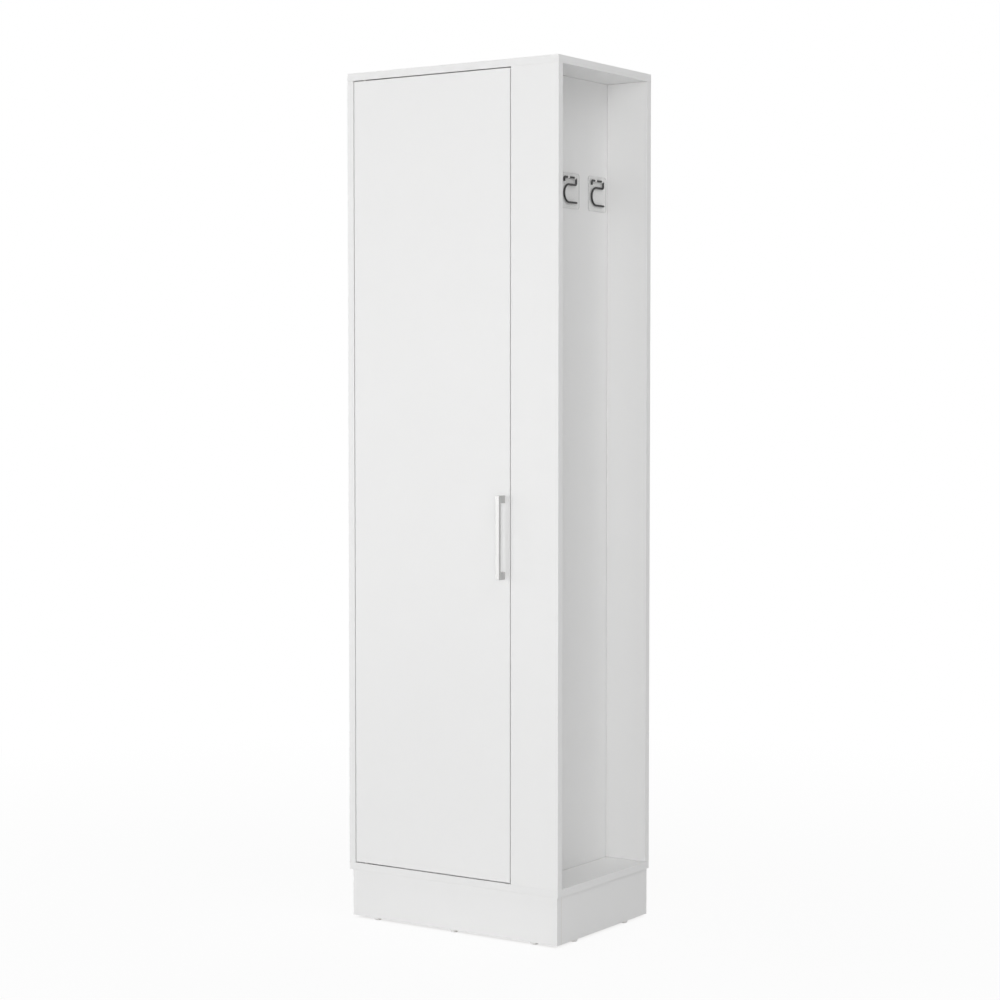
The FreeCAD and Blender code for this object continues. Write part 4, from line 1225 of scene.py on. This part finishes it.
class CUPBOARD_OT_catches(bpy.types.Operator):
    """The magnetic catches, their strike plates and all their screws, with the handle's screws"""

    bl_idname = "cupboard.catches"
    bl_label = "Catches"

    def execute(self, context):
        sizes, looks = bench(context)
        soften(context, CATCH_FITTINGS)
        small = (sizes.small_head, sizes.small_shank)
        screws(context, "catch_screws", "catch_screw_set", *small)
        screws(context, "strike_screws", "strike_screw_set", *small)
        screws(
            context, "handle_screws", "handle_screw_pair", sizes.handle_head, sizes.handle_shank)
        pole, inset, poles, cores = sizes.pole_thickness, sizes.ferrite_inset, [], []
        for low, high, _ in solids_of("catch_magnets"):
            for left in (low.x, high.x - pole):
                poles.append(add_slab("pole_plate", low, high, left, left + pole))
            cores.append(add_box(
                "ferrite_core", (low.x + pole, low.y + sizes.ferrite_setback, low.z + inset),
                (high.x - pole, high.y, high.z - inset)))
        poles, cores = join_as("magnet_pole_plates", poles), join_as("magnet_cores", cores)
        for piece in (poles, cores):
            break_edges(piece, sizes.small_arris)
            smooth(piece)
        finish_piece(poles, "carcass", "magnet", looks["zinc_plate"], replaces=["catch_magnets"])
        finish_piece(cores, "carcass", "magnet", looks["ferrite"])
        return {"FINISHED"}


# ---------------------------------------------------------------- studio

def white_to_the_eye(nodes, plain, amount=1.0):
    """Mixes an amount of white into a shader for the rays of camera, gloss and glass."""
    path = nodes.add("ShaderNodeLightPath", {}).outputs
    seen = path["Is Camera Ray"]
    for ray in ("Is Glossy Ray", "Is Transmission Ray"):
        seen = nodes.maths("MAXIMUM", seen, path[ray])
    share = nodes.maths("MULTIPLY", seen, amount)
    kind = "ShaderNodeBackground" if plain.type == "BACKGROUND" else "ShaderNodeEmission"
    white = nodes.add(kind, {"Color": WHITE, "Strength": 1.0})
    mix = nodes.add(
        "ShaderNodeMixShader", {"Fac": share, 1: plain.outputs[0], 2: white.outputs[0]})
    return mix.outputs["Shader"]


def outside_plinth(finish):
    """1 along the plinth's outline on the floor, less inside it and more outside."""
    low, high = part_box("plinth_front")[0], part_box("plinth_back")[1]
    middle, half = (low + high) / 2, (high - low) / 2
    mapping = finish.add("ShaderNodeMapping", {
        "Vector": finish.place, "Location": (-middle.x / half.x, -middle.y / half.y, 0),
        "Scale": (1 / half.x, 1 / half.y, 0)})
    size = finish.add(
        "ShaderNodeVectorMath", {0: mapping.outputs["Vector"]}, operation="ABSOLUTE")
    parts = finish.add("ShaderNodeSeparateXYZ", {"Vector": size.outputs["Vector"]}).outputs
    return finish.maths("MAXIMUM", parts["X"], parts["Y"])


class CUPBOARD_OT_stage(bpy.types.Operator):
    """The pale floor, the white surround, the lamps and the camera"""

    bl_idname = "cupboard.stage"
    bl_label = "Studio"

    def execute(self, context):
        stage, scene = context.scene.cupboard_stage, context.scene
        bpy.ops.mesh.primitive_plane_add(size=FLOOR_SIDE, location=(0, 0, 0))
        floor = added("studio_floor")
        finish = make_finish(
            "studio_floor", scene.cupboard_finish, "floor",
            {"Roughness": 0.9, "Specular IOR Level": 0.0}, tint=(0.997, 1.003, 2.0))
        far = finish.add("ShaderNodeVectorMath", {0: finish.place}, operation="LENGTH")
        around = finish.between(far.outputs["Value"], stage.floor_glow, 1.0, GLOW_RANGE)
        under = finish.between(outside_plinth(finish), stage.contact_glow, 1.0, CONTACT_RANGE)
        glow = finish.maths("MULTIPLY", around, under)
        finish.fill(finish.output, {"Surface": white_to_the_eye(finish, finish.shader, glow)})
        floor.data.materials.append(finish.material)

        scene.world = bpy.data.worlds.new("studio_surround")
        scene.world.use_nodes = True
        nodes = Nodes(scene.world.node_tree)
        surround = nodes.fill(
            nodes.tree.nodes["Background"], {"Color": WHITE, "Strength": stage.ambient})
        nodes.fill(
            nodes.tree.nodes["World Output"], {"Surface": white_to_the_eye(nodes, surround)})

        for name, (power, place, size) in LAMPS.items():
            bpy.ops.object.light_add(type="AREA", location=place)
            lamp = context.object
            lamp.name = name
            lamp.data.shape = "SQUARE"
            lamp.data.size = size
            lamp.data.energy = getattr(stage, power)
            lamp.rotation_euler = turn_to(Vector(place) - LAMPS_AIM)
            lamp.visible_camera = False

        turn = (math.pi / 2 - stage.camera_dip, 0, stage.camera_turn)
        bpy.ops.object.camera_add(location=stage.camera_place, rotation=turn)
        scene.camera = context.object
        scene.camera.name = "studio_camera"
        scene.camera.data.lens = stage.lens
        scene.camera.data.sensor_width = SENSOR_WIDTH
        scene.view_settings.view_transform = "Standard"
        return {"FINISHED"}


# ---------------------------------------------------------------- panel and registration

OPERATORS = (
    CUPBOARD_OT_carcass,
    CUPBOARD_OT_shelves,
    CUPBOARD_OT_back_sheet,
    CUPBOARD_OT_door,
    CUPBOARD_OT_handle,
    CUPBOARD_OT_hook_plates,
    CUPBOARD_OT_wire_hooks,
    CUPBOARD_OT_glides,
    CUPBOARD_OT_joint_fittings,
    CUPBOARD_OT_pivots,
    CUPBOARD_OT_catches,
    CUPBOARD_OT_stage,
)
GROUPS = {
    "cupboard_sizes": CupboardSizes,
    "cupboard_finish": CupboardFinish,
    "cupboard_stage": CupboardStage,
}


class CUPBOARD_PT_panel(bpy.types.Panel):
    """The cupboard's pieces and sizes in the sidebar"""

    bl_label = "Broom cupboard"
    bl_idname = "CUPBOARD_PT_panel"
    bl_space_type = "VIEW_3D"
    bl_region_type = "UI"
    bl_category = "Cupboard"

    def draw(self, context):
        for operator in OPERATORS:
            self.layout.operator(operator.bl_idname)
        for group in (getattr(context.scene, name) for name in GROUPS):
            column = self.layout.column(align=True)
            for name in group.__annotations__:
                column.prop(group, name)


CLASSES = (*GROUPS.values(), *OPERATORS, CUPBOARD_PT_panel)


def register():
    for cls in CLASSES:
        bpy.utils.register_class(cls)
    for name, group in GROUPS.items():
        setattr(bpy.types.Scene, name, bpy.props.PointerProperty(type=group))


def unregister():
    for name in GROUPS:
        delattr(bpy.types.Scene, name)
    for cls in reversed(CLASSES):
        bpy.utils.unregister_class(cls)


def main():
    register()
    for operator in OPERATORS:
        group, name = operator.bl_idname.split(".")
        getattr(getattr(bpy.ops, group), name)()
    bpy.context.view_layer.update()


if __name__ == "__main__":
    main()
